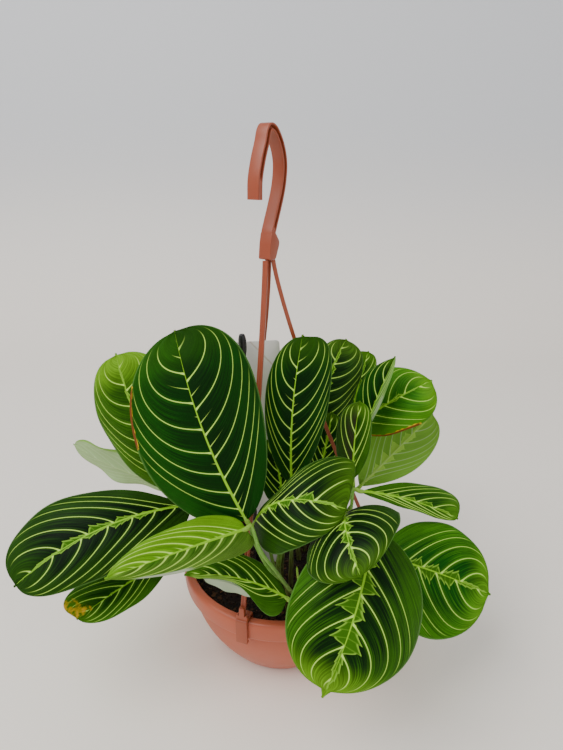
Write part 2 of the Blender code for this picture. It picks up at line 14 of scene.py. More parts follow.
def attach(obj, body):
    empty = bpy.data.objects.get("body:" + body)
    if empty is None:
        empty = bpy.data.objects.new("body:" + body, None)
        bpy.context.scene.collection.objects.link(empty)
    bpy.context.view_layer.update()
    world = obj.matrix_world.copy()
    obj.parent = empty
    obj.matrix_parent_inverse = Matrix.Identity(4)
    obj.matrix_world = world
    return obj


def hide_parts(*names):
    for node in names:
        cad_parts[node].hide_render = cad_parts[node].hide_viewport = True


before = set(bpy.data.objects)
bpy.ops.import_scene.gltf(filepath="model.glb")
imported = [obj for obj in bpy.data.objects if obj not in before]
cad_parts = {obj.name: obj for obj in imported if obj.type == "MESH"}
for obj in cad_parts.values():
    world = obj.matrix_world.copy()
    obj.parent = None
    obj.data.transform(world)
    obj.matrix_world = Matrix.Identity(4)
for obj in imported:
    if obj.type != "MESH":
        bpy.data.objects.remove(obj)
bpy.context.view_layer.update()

MM = 0.001                       # sizes are in millimetres, and meshes and nodes in metres
BODY = "root"

# Pot, soil, hanger and label, the same as the solid model's
RIM_RADIUS = 65.0
RIM_HEIGHT = 63.5
LIP_RADIUS = 59.6
BAND_RADIUS = 64.5
BAND_BOTTOM = 51.0
BAND_STEP = 4.0
BASE_RADIUS = 37.0
WALL = 1.8
FLOOR = 2.2
DRAIN_HOLES = 6
DRAIN_RADIUS = 3.0
DRAIN_CIRCLE = 24.0
SOIL_EDGE_HEIGHT = 52.0
SOIL_CROWN = 3.0
APEX = Vector((-8, 0, 261))
HOOK_TURN = math.radians(55)
HOOK_DEPTH = 3.8
HOOK_WIDTH = 7.4
HOOK_WEB = 2.4
HOOK_FLANGE = 1.0
HOOK_POINTS = (
    (1, 2), (1, 12), (3.5, 19), (7, 27), (10.8, 37), (12.5, 46), (12, 53), (9.2, 60),
    (5, 65.5), (1, 67.3), (-1.6, 65.2), (-3.6, 59.5), (-6.7, 52), (-9.6, 42), (-10.2, 32),
)
COLLAR_OUTLINE = (
    (-2.8, 0), (3.2, 0), (6.6, 7.5), (6.6, 9.5), (3.8, 13.5), (1.6, 15.5), (-0.4, 14.5), (-1.8, 9),
)
ARM_THICKNESS = 2.3
ARM_WIDTH = 3.0
ARM_START = 3.4                  # how far from the hanger's axis an arm leaves the collar
CLIP_WIDTH = 7.0
CLIP_GAP = 0.3
# Each arm's name, where its clip sits, how late it flares, and its shift to the right on top
ARMS = (("front", (-22.5, -61), 1.2, 0), ("right", (64.3, 9.5), 1.2, 0),
        ("back", (-40.5, 51), 1.6, 2.5))
CARD_WIDTH = 27.0
CARD_HEIGHT = 158.5
CARD_FOOT_WIDTH = 6.0
CARD_SHOULDER = 22.0             # height at which the card reaches its full width
CARD_THICKNESS = 0.6
CARD_PLACE = (-6.5, 1.0)
CARD_TILT = math.radians(-3)
STAKE_LENGTH = 164.5
STAKE_RADIUS = 1.5
STAKE_HEAD_RADIUS = 2.35
STAKE_PLACE = (-15.5, -5.0)
STAKE_TILT = math.radians(-2.5)
LABEL_FOOT = 55.1

# Leaves
BLADE_THICKNESS = 0.5
MIDRIB_FOLLOW = 0.35             # how far the side veins turn with a bowed midrib
TIP_SHARE = 0.88                 # where the drip tip starts along the blade
DRIP_WIDTH = 0.17
NARROWEST = 0.5
# How far a side vein leans forward as it leaves the midrib, how far it then swings forward by
# the margin, and how late it swings
STEEP_VEINS = ((0.36, 0.4, 2.0),) * 2
OPEN_VEINS = ((0.13, 0.33, 3.2),) * 2
SWEPT_VEINS = ((0.28, 0.3, 2.3),) * 2
BENT_VEINS = ((0.04, 0.5, 2.0), (0.04, 0.46, 1.7))
VEIN_CROWDING = 2.5              # lower crowds the side veins more towards the blade's base
PLEAT = 0.5                      # rise of the blade between two side veins
RIB_DEPTH = 0.7                  # how far the midrib stands out below the blade
ROW_STEP = 1.15                  # mesh step along a blade
COLUMNS = 20                     # mesh steps from a blade's midrib to its margin
STALK_RADIUS = 1.3
BLADE_CLEARANCE = 1.0
SHOOT_RADIUS = 1.8

# Light and camera, in metres
CAMERA_PLACE = (0, -0.314, 0.313)
CAMERA_PITCH = math.radians(69)
CAMERA_LENS = 27.07
PLANT_MIDDLE = (0, 0, 0.12)
SKY_STRENGTH = 0.85


class Leaf(NamedTuple):
    """One leaf, in millimetres and degrees. Pairs are for its left and its right half."""

    base: tuple                  # where the blade meets its stalk
    tip: tuple
    facing: tuple                # the way the upper side looks: round from the front, then up
    half: tuple                  # widths
    foot: tuple                  # where the stalk leaves the soil
    via: tuple = ()              # points on the stalk's way up
    neck: float = 9              # length of stalk in line with the blade
    arch: float = 0              # rise of the midrib's middle, and how far it bows to the left
    bow: float = 0
    root: tuple = (0.6, 0.6)     # lower is rounder at the base, and at the tip
    point: tuple = (0.5, 0.5)
    widest: tuple = (0.52, 0.52)  # where along the blade it is widest
    lean: tuple = (0, 0)         # how far a half is drawn towards the tip
    fold: tuple = (5, 5)         # how steeply a half rises, and how far it curls down
    cup: tuple = (20, 20)
    drip: float = 0.015          # length of the drip tip, as a share of the blade
    look: object = "mature"      # greens, for the whole blade or for each half
    veins: float = 7             # side veins to a half
    sweep: tuple = SWEPT_VEINS
    feather: float = 0.18        # reach of the lime band along the midrib
    limy: float = 0.2            # how far the blade's tip turns lime
    streaks: float = 1.0         # strength of the fine streaks
    wave: float = 0.8            # height of the margin's waves
    # Patches, as where one starts and ends along the blade and across it, and its strength
    dry: tuple = ()
    pale: tuple = ()


# Greens of a blade: between the side veins near the midrib, and out at the margin
LOOKS = {
    "old": ("#042a02", "#154804"),
    "deep": ("#032402", "#0c3a03"),
    "mature": ("#042402", "#2e5c06"),
    "shaded": ("#031a02", "#1f4206"),
    "hazy": ("#0d2a05", "#2a4c14"),
    "middle": ("#123a03", "#34620a"),
    "clear": ("#0d4602", "#376e08"),
    # The bright greens are partly painted light: on the two backlit blades they stand in for light
    # shining through them
    "bright": ("#226002", "#417a08"),
    "fresh": ("#224a03", "#3b660c"),
    "lime": ("#508208", "#629212"),
    "leafy": ("#34600e", "#567c26"),
    # These greyish greens are painted shade with a dull painted reflection, for a half folded away
    # from the light
    "purple_shade": ("#2c2c18", "#22420f"),
    "grey": ("#5c8a3c", "#6b9648"),
    "white": ("#b9c4ac", "#c6cfbc"),
}

LEAVES = (
    # Leaf 1's right half has the darker deep greens as painted shade, where that cupped half turns
    # from the light
    Leaf(base=(-19, -58, 131), tip=(-56, -30, 229), facing=(0, 20), half=(37, 35), foot=(4, -44),
         via=((2, -55, 85), (-7, -64, 104), (-14, -63, 119)), neck=4, arch=4, bow=4,
         root=(0.48, 0.55), point=(0.5, 0.46), widest=(0.5, 0.6), lean=(0, 0.2), fold=(3, 5),
         cup=(15, 25), drip=0.01, look=("old", "deep"), veins=8, sweep=OPEN_VEINS, feather=0,
         limy=0.05, streaks=0.3, dry=((0.5, 0.82, 0.98, 1.1, 3.0),)),
    Leaf(base=(-66, -5, 117), tip=(-102, 15, 201), facing=(-15, 20), half=(28, 32), foot=(-34, -4),
         arch=6, bow=2, root=(0.55, 0.6), point=(0.4, 0.4), widest=(0.62, 0.6), cup=(30, 20),
         look="fresh", veins=8, sweep=OPEN_VEINS, feather=0.12, limy=0.9, streaks=0.7),
    Leaf(base=(-66, 20, 101), tip=(-149, 45, 122), facing=(185, 18), half=(17, 12), foot=(-30, 12),
         arch=-5, widest=(0.52, 0.66), cup=(10, 10), look="grey", feather=0.02, wave=2.5,
         pale=((0.0, 1.0, -1.1, 0.85, 0.5),)),
    Leaf(base=(-56, -25, 118), tip=(-147, -66, 93), facing=(15, 50), half=(25, 29), foot=(-28, -16),
         arch=12, bow=-6, root=(0.5, 1.1), point=(0.5, 0.36), widest=(0.5, 0.66), lean=(0, 0.3),
         fold=(8, 8), cup=(35, 35), look="shaded", sweep=BENT_VEINS, feather=0.17, limy=0,
         wave=1.6),
    Leaf(base=(-73, -20, 74), tip=(-119, -59, 63), facing=(0, 65), half=(14, 20), foot=(-40, -14),
         arch=2, point=(0.5, 0.3), lean=(0, 0.5), look="middle", veins=6, feather=0.05,
         dry=((0.8, 1.0, -1.1, 0.15, 0.6),)),
    Leaf(base=(-19, -66, 131), tip=(-82, -104, 131), facing=(-30, 30), half=(15.5, 14),
         foot=(8, -40), via=((5, -60, 85), (-3, -69, 106), (-11, -71, 121)), neck=3, arch=3,
         root=(0.3, 0.45), point=(0.7, 0.7), widest=(0.25, 0.35), lean=(-0.8, 0), fold=(-35, 5),
         cup=(30, 30), look=("leafy", "lime"), feather=0.04, wave=1.2,
         pale=((0.55, 0.9, 0.82, 1.0, 1.0),)),
    Leaf(base=(3, -64, 83), tip=(-53, -66, 101), facing=(-20, 50), half=(13, 14), foot=(8, -48),
         arch=4, bow=-4, root=(0.3, 0.9), point=(7, 0.6), widest=(0.12, 0.5), cup=(40, 40),
         look="middle", veins=6, feather=0.05),
    Leaf(base=(6, -25, 133), tip=(12, -8, 220), facing=(5, 15), half=(16.5, 22), foot=(6, -22),
         arch=3, bow=3, root=(0.7, 0.65), point=(0.5, 0.3), widest=(0.6, 0.6), lean=(0, 0.2),
         cup=(30, 30), look="deep", veins=8, sweep=OPEN_VEINS, feather=0.03, limy=0.1, streaks=0.4),
    Leaf(base=(29, 20, 146), tip=(42, 35, 204), facing=(10, 20), half=(14, 22), foot=(16, 14),
         arch=2, bow=6, root=(0.6, 0.5), point=(0.4, 0.4), widest=(0.6, 0.6), cup=(30, 30),
         look="hazy", sweep=OPEN_VEINS),
    Leaf(base=(48, 40, 144), tip=(60, 55, 189), facing=(20, 20), half=(12, 12), foot=(24, 24),
         arch=2, bow=2, point=(0.35, 0.35), widest=(0.6, 0.6), cup=(30, 30), look="middle",
         veins=5),
    # Leaf 11's left half is painted in shade, as it is folded away from the light
    Leaf(base=(44, -12, 129), tip=(46, -10, 180), facing=(0, 20), half=(12, 10.5), foot=(25, -6),
         via=((39, -9, 108),), bow=1, root=(0.6, 0.7), point=(0.45, 0.45), fold=(10, 10),
         cup=(60, 40), look=("purple_shade", "middle"), veins=4, sweep=STEEP_VEINS, feather=0.04),
    Leaf(base=(53, 10, 150), tip=(71, 18, 198), facing=(-25, 15), half=(14, 8), foot=(27, 14),
         via=((42, 14, 108),), arch=2, point=(1.0, 0.5), fold=(10, 60), cup=(30, 10),
         look=("old", "grey"), veins=5, feather=0.1, pale=((0.0, 0.55, -1.0, -0.6, 0.4),)),
    Leaf(base=(51, 28, 146), tip=(96, 20, 181), facing=(10, 55), half=(25, 22), foot=(30, 23),
         arch=4, root=(0.5, 0.45), point=(0.85, 0.33), widest=(0.55, 0.68), cup=(30, 30),
         look="bright", veins=5, feather=0.08, limy=0.4, streaks=0.6,
         dry=((0.06, 0.7, -1.1, -0.94, 1.3),)),
    Leaf(base=(54, 20, 103), tip=(103, 35, 151), facing=(150, -10), half=(18.5, 20), foot=(36, 12),
         arch=2, root=(1.0, 0.7), point=(0.4, 0.4), widest=(0.6, 0.6), cup=(5, 5), look="bright",
         feather=0.36),
    Leaf(base=(49, -16, 122), tip=(112, -12, 99), facing=(0, 55), half=(17, 6), foot=(34, -22),
         via=((42, -21, 108),), neck=4, arch=3, bow=2, root=(1.0, 0.6), point=(0.3, 0.5),
         widest=(0.85, 0.6), lean=(0.4, 0), cup=(30, 30), look="middle", veins=6, feather=0.26),
    Leaf(base=(-15, -50, 123), tip=(34, -68, 144), facing=(8, 48), half=(37, 26), foot=(-2, -36),
         via=((-9, -44, 110),), neck=4, arch=14, bow=6, root=(4.5, 0.4), point=(0.35, 0.55),
         widest=(0.93, 0.38), lean=(0.3, 0), cup=(55, 30), look="shaded", feather=0.19),
    Leaf(base=(35, -58, 135), tip=(37, -103, 131), facing=(-45, 55), half=(29, 28), foot=(22, -34),
         arch=9, root=(0.35, 0.9), point=(0.5, 0.45), widest=(0.4, 0.55), lean=(-0.1, 0.1),
         fold=(8, 8), cup=(50, 50), look="shaded", veins=6, feather=0.17),
    Leaf(base=(47, -72, 135), tip=(20, -112, 66), facing=(5, 40), half=(37.5, 33.5), foot=(28, -40),
         neck=4, arch=8, bow=2, root=(0.5, 0.5), point=(0.55, 0.45), widest=(0.5, 0.55),
         cup=(40, 40), drip=0.055, veins=6, feather=0.3, limy=0.9),
    Leaf(base=(62, -30, 85), tip=(123, -50, 73), facing=(10, 50), half=(34, 37), foot=(38, -22),
         arch=5, root=(0.5, 0.5), point=(0.45, 0.45), widest=(0.5, 0.5), cup=(30, 30), drip=0.03,
         look="clear", veins=6, feather=0.22, limy=0.4),
    Leaf(base=(2, -20, 111), tip=(-6, -5, 154), facing=(10, 25), half=(12, 15), foot=(0, -14),
         arch=3, look="deep", veins=6),
    Leaf(base=(24, 10, 113), tip=(33, 20, 159), facing=(0, 20), half=(13, 13), foot=(12, 4), arch=3,
         look="deep", veins=6),
    Leaf(base=(-14, -62, 83), tip=(-44, -58, 92), facing=(180, 0), half=(7, 6), foot=(-12, -34),
         neck=3, arch=3, fold=(10, 10), look="white", veins=5, feather=0,
         pale=((0.0, 1.0, -1.1, 1.1, 0.9),)),
    Leaf(base=(-20, 40, 120), tip=(-50, 80, 185), facing=(200, 35), half=(26, 26), foot=(-12, 24),
         arch=6, feather=0.22),
    Leaf(base=(20, 55, 110), tip=(45, 125, 120), facing=(190, 65), half=(27, 27), foot=(10, 34),
         arch=14, cup=(35, 35), feather=0.26),
    Leaf(base=(-35, 55, 90), tip=(-75, 115, 85), facing=(160, 60), half=(26, 26), foot=(-20, 36),
         arch=12, cup=(35, 35), look="middle", feather=0.24),
)

SHOOTS = (
    ((13, -45, 54.2), (13, -46, 60), (12, -53, 76), (9.5, -58, 90), (8.5, -59, 101)),
    ((-2, -28, 55), (-2, -28.5, 62), (-2, -33, 80), (0, -38, 100), (1, -40, 118)),
)

# Kinds of node: a type, or a type and its settings
MATH = "ShaderNodeMath"
ADD = (MATH, {"operation": "ADD"})
SUBTRACT = (MATH, {"operation": "SUBTRACT"})
MULTIPLY = (MATH, {"operation": "MULTIPLY"})
DIVIDE = (MATH, {"operation": "DIVIDE"})
POWER = (MATH, {"operation": "POWER"})
GREATER = (MATH, {"operation": "MAXIMUM"})
BELOW = (MATH, {"operation": "LESS_THAN"})
FOLD = (MATH, {"operation": "PINGPONG"})
FLOORED = (MATH, {"operation": "FLOOR"})
FRACTION = (MATH, {"operation": "FRACT"})
WHOLE = (MATH, {"operation": "ROUND"})
SIGN = (MATH, {"operation": "SIGN"})
ABSOLUTE = (MATH, {"operation": "ABSOLUTE"})
RAMP = "ShaderNodeMapRange"
SMOOTH = (RAMP, {"interpolation_type": "SMOOTHSTEP"})
MIX = "ShaderNodeMix"
BLEND = (MIX, {"data_type": "RGBA"})
DARKEN = (MIX, {"data_type": "RGBA", "blend_type": "MULTIPLY"})
NOISE = "ShaderNodeTexNoise"
CELLS = "ShaderNodeTexVoronoi"
LUCK = ("ShaderNodeTexWhiteNoise", {"noise_dimensions": "1D"})
ATTRIBUTE = "ShaderNodeAttribute"
SPLIT = "ShaderNodeSeparateXYZ"
BUMP = "ShaderNodeBump"
STORE = ("GeometryNodeStoreNamedAttribute", {"data_type": "FLOAT", "domain": "POINT"})
RANDOM_VECTOR = ("FunctionNodeRandomValue", {"data_type": "FLOAT_VECTOR"})


# ---------------- helpers

def colour(code):
    """An sRGB hex colour as linear RGBA."""
    channels = [int(code[k:k + 2], 16) / 255 for k in (1, 3, 5)]
    return tuple(c / 12.92 if c <= 0.04045 else ((c + 0.055) / 1.055) ** 2.4
                 for c in channels) + (1.0,)


def feed(node, *inputs, **named):
    """Give a node its inputs, in order or by name, from values, colours, nodes or sockets."""
    pairs = list(zip([socket for socket in node.inputs if socket.enabled], inputs))
    pairs += [(node.inputs[key.replace("_", " ")], value) for key, value in named.items()]
    for socket, value in pairs:
        if isinstance(value, bpy.types.Node):
            value = next(out for out in value.outputs if out.enabled)
        if isinstance(value, bpy.types.NodeSocket):
            node.id_data.links.new(value, socket)
        elif value is not None:
            coloured = isinstance(value, str) and value.startswith("#")
            socket.default_value = colour(value) if coloured else value
    return node


def add(tree, kind, *inputs, **named):
    """Add a node of a kind, with its settings and its inputs."""
    kind, settings = kind if isinstance(kind, tuple) else (kind, {})
    node = tree.nodes.new(kind)
    for key, value in settings.items():
        setattr(node, key, value)
    return feed(node, *inputs, **named)


def new_material(name):
    """A new material: itself, how to put a node in it, its shader and its coordinates."""
    material = bpy.data.materials.new(name)
    material.use_nodes = True
    tree = material.node_tree
    coords = add(tree, "ShaderNodeTexCoord").outputs["Object"]
    return material, partial(add, tree), tree.nodes["Principled BSDF"], coords


def new_tree(name, **inputs):
    """A new tree of geometry nodes: how to put a node in it, its inputs, and the tree."""
    tree = bpy.data.node_groups.new(name, "GeometryNodeTree")
    tree.interface.new_socket(name="Result", in_out="OUTPUT", socket_type="NodeSocketGeometry")
    for key, kind in inputs.items():
        tree.interface.new_socket(name=key, in_out="INPUT", socket_type="NodeSocket" + kind)
    return partial(add, tree), add(tree, "NodeGroupInput").outputs, tree


def settle(thing):
    """Turn what a thing's modifiers make into its own plain mesh."""
    depsgraph = bpy.context.evaluated_depsgraph_get()
    mesh = bpy.data.meshes.new_from_object(thing.evaluated_get(depsgraph))
    thing.modifiers.clear()
    thing.data = mesh


def grown(thing, tree, **settings):
    """Run a node tree on a thing with its named inputs, and keep the result as a plain mesh."""
    nodes = thing.modifiers.new("grow", "NODES")
    nodes.node_group = tree
    for item in tree.interface.items_tree:
        if item.name in settings:
            nodes[item.identifier] = settings[item.name]
    settle(thing)
    return thing


@contextmanager
def editing(mesh):
    """A mesh's faces and edges to work on, written back to it at the end."""
    work = bmesh.new()
    work.from_mesh(mesh)
    yield work
    work.to_mesh(mesh)
    work.free()


def new_object(name, data, *materials):
    thing = bpy.data.objects.new(name, data)
    bpy.context.scene.collection.objects.link(thing)
    for material in materials:
        thing.data.materials.append(material)
    return thing


def finish_piece(thing, slot, *nodes):
    """Put a finished piece on the one body, in place of the CAD nodes it stands for."""
    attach(thing, BODY)
    if nodes:
        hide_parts(*nodes)
    return thing


def unit(vector):
    return vector / np.linalg.norm(vector)


def in_metres(points):
    return (np.array(points) * MM).tolist()


# ---------------- leaf blades

def half_width(share, widest, root, point, drip):
    """A blade half's width at this share of its length, from 0 to 1."""
    before = max((widest - share) / widest, 0.0)
    after = min(max((share - widest) / (1 - drip - widest), 0.0), 1.0)
    body = (1 - before ** 2) ** root * (1 - after ** 2) ** point
    spur = DRIP_WIDTH * min((1 - share) / (1 - TIP_SHARE), 1.0) * min(2 * share, 1.0)
    return (body ** 3 + spur ** 3) ** (1 / 3)


class Blade:
    """A leaf blade's middle surface, with its side veins."""

    def __init__(self, shape, number):
        self.shape = shape
        self.number = number
        self.base = np.array(shape.base, float)
        self.tip = np.array(shape.tip, float)
        self.length = np.linalg.norm(self.tip - self.base)
        self.chord = unit(self.tip - self.base)
        around, up = np.radians(shape.facing)
        self.facing = np.array((math.sin(around) * math.cos(up), -math.cos(around) * math.cos(up),
                                math.sin(up)))
        self.lift = unit(self.facing - self.chord * (self.facing @ self.chord))
        self.left = np.cross(self.lift, self.chord)

    def midrib(self, share):
        rise = 4 * share * (1 - share)
        return (self.base + (self.tip - self.base) * share + self.lift * self.shape.arch * rise
                + self.left * self.shape.bow * rise)

    def along(self, share):
        step = 1e-4
        return unit(self.midrib(share + step) - self.midrib(share - step))

    def width(self, share, side):
        shape = self.shape
        width = half_width(share, shape.widest[side], shape.root[side], shape.point[side],
                           shape.drip)
        return max(width * shape.half[side], NARROWEST)

    def vein(self, share, out, side):
        """The side vein that runs here, as a running number, how many veins lie in a mm, and
        the number of the vein that leaves the midrib level with this point."""
        lean, swing, late = self.shape.sweep[side]
        start = share - lean * out - swing * out ** late
        slope = lean + swing * late * out ** (late - 1)
        count = self.shape.veins * (1 + VEIN_CROWDING)
        first = 0.3 + 0.25 * side
        number = count * start / (start + VEIN_CROWDING) + first
        at_midrib = count * share / (share + VEIN_CROWDING) + first
        rate = count * VEIN_CROWDING / (start + VEIN_CROWDING) ** 2
        steep = math.hypot(1 / self.length, slope / self.width(share, side))
        return number, rate * steep, at_midrib

    def surface(self, share, across, side):
        """The point at a share of the length and at across, 0 at the midrib to 1 at the margin."""
        shape = self.shape
        along = self.along(share)
        turning = unit(MIDRIB_FOLLOW * along + (1 - MIDRIB_FOLLOW) * self.chord)
        left = unit(np.cross(self.facing, turning))
        up = unit(np.cross(along, left))
        half = shape.half[side]
        out = across * self.width(share, side)
        fold = math.radians(shape.fold[side])
        curl = math.radians(shape.cup[side]) / half
        level = (math.sin(fold) - math.sin(fold - curl * out)) / curl
        drop = (math.cos(fold - curl * out) - math.cos(fold)) / curl
        level *= 1 if side == 0 else -1
        # The blade swells between the side veins, and its margin waves
        number = self.vein(share, across, side)[0]
        edge = min(across / 0.12, 1.0) * (1 - across ** 6)
        pleat = PLEAT * abs(math.sin(math.pi * number)) ** 0.8 * edge * min(1, half / 20)
        waves = 2 * math.pi * (2.3 * share + 0.37 * self.number + 0.35 * side)
        wave = shape.wave * across ** 3 * math.sin(waves) * math.sin(math.pi * share)
        return (self.midrib(share) + left * level + up * (drop + pleat + wave)
                + along * shape.lean[side] * out)


def blade_mesh(number, shape):
    """A blade with both its faces, as a closed mesh, with maps that its colouring follows."""
    blade = Blade(shape, number)
    rows = max(int(blade.length / ROW_STEP), 30)
    crowding = 0.45              # of the rows towards both ends
    shares = []
    for k in range(rows + 1):
        step = k / rows
        eased = 0.5 - 0.5 * math.cos(math.pi * step)
        shares.append(crowding * eased + (1 - crowding) * step)
    steps = [k / COLUMNS for k in range(COLUMNS + 1)]
    across = [-a for a in reversed(steps)] + steps[1:]
    grid = np.array([[blade.surface(s, abs(a), 0 if a > 0 else 1) for a in across] for s in shares])
    normal = np.cross(np.gradient(grid, axis=1), np.gradient(grid, axis=0))
    normal /= np.linalg.norm(normal, axis=2, keepdims=True) + 1e-12
    if (normal[rows // 2, COLUMNS] @ blade.facing) < 0:
        normal = -normal
    # Each face lies half the thickness from the middle, and less at the margin
    thick = np.array([BLADE_THICKNESS * (0.28 + 0.22 * (1 - abs(a) ** 8)) for a in across])
    rib = np.zeros((len(shares), len(across)))
    rib[:, COLUMNS] = [RIB_DEPTH * (1 - share) ** 0.7 for share in shares]
    upper = grid + normal * thick[None, :, None]
    lower = grid - normal * (thick[None, :, None] + rib[:, :, None])
    wide = len(across)
    count = (rows + 1) * wide
    verts = np.concatenate([upper.reshape(-1, 3), lower.reshape(-1, 3)])
    faces = []
    for r in range(rows):
        for c in range(wide - 1):
            a = r * wide + c
            faces.append((a, a + wide, a + wide + 1, a + 1))
            faces.append((count + a, count + a + 1, count + a + wide + 1, count + a + wide))
    under = [0, 1] * (len(faces) // 2)
    loop = list(range(wide)) + [r * wide + wide - 1 for r in range(1, rows + 1)]
    loop += [rows * wide + c for c in range(wide - 2, -1, -1)]
    loop += [r * wide for r in range(rows - 1, 0, -1)]
    faces += [(a, b, count + b, count + a) for a, b in zip(loop, loop[1:] + loop[:1])]
    mesh = bpy.data.meshes.new(f"leaf_{number:02d}_blade_skin")
    mesh.from_pydata(in_metres(verts), [], faces)
    mesh.polygons.foreach_set("material_index", under + [0] * len(loop))
    mesh.update()
    store_vein_maps(mesh, blade, shares, across)
    store_tints(mesh, blade, shares, across)
    with editing(mesh) as work:
        bmesh.ops.recalc_face_normals(work, faces=work.faces)
    mesh.shade_smooth()
    return mesh


def store_vein_maps(mesh, blade, shares, across):
    """Write where each corner lies on the blade, and on its side veins, as UV maps."""
    wide = len(across)
    corners = np.empty(len(mesh.loops), int)
    mesh.loops.foreach_get("vertex_index", corners)
    corners %= len(shares) * wide
    column = corners % wide
    # A face that has a corner beyond the midrib belongs to the right half, with all its corners
    right = np.zeros(len(corners), int)
    for polygon in mesh.polygons:
        span = slice(polygon.loop_start, polygon.loop_start + polygon.loop_total)
        right[span] = column[span].min() < wide // 2
    known = {}
    maps = np.empty((3, len(corners), 2), np.float32)
    for k, key in enumerate(zip((corners // wide).tolist(), column.tolist(), right.tolist())):
        if key not in known:
            share = shares[key[0]]
            out = across[key[1]]
            number, rate, level = blade.vein(share, abs(out), key[2])
            known[key] = ((share, out), (number, rate), (level, 0))
        maps[:, k] = known[key]
    for name, values in zip(("place", "veins", "lobes"), maps):
        mesh.uv_layers.new(name=name).data.foreach_set("uv", values.ravel())


def patched(patches, share, across):
    """How strong the strongest of these patches is here. Their edges are soft."""
    strongest = 0.0
    ends = 0.06
    sides = 0.04
    for start, end, low, high, amount in patches:
        inside = min((share - start) / ends, (end - share) / ends + (end >= 1), 1.0)
        outer = min((across - low) / sides + 0.5, (high - across) / sides + 0.5, 1.0)
        strongest = max(strongest, amount * max(min(inside, outer), 0.0))
    return strongest


def store_tints(mesh, blade, shares, across):
    """Write the blade's greens, its patches and what else its colouring needs to its points."""
    shape = blade.shape
    looks = shape.look if isinstance(shape.look, tuple) else (shape.look, shape.look)
    greens = [[colour(code) for code in LOOKS[look]] for look in looks]
    fill = {"out_mm": [], "dry": [], "pale": [], "inner_green": [], "outer_green": []}
    for share in shares:
        for a in across:
            side = 0 if a > 0 else 1
            fill["out_mm"].append(abs(a) * blade.width(share, side))
            fill["dry"].append(patched(shape.dry, share, a))
            fill["pale"].append(patched(shape.pale, share, a))
            fill["inner_green"] += greens[side][0]
            fill["outer_green"] += greens[side][1]
    for name in ("feather", "limy", "streaks"):
        fill[name] = [float(getattr(shape, name))] * len(fill["dry"])
    fill["leaf"] = [float(blade.number)] * len(fill["dry"])
    for name, values in fill.items():
        tinted = name.endswith("green")
        layer = mesh.attributes.new(name, "FLOAT_COLOR" if tinted else "FLOAT", "POINT")
        layer.data.foreach_set("color" if tinted else "value", values * 2)


def within(put, distance, reach, before, after, most=1.0):
    """A mask that is full up to just before a reach and gone just after it."""
    return put(SMOOTH, distance, put(SUBTRACT, reach, before), put(ADD, reach, after), most, 0.0)


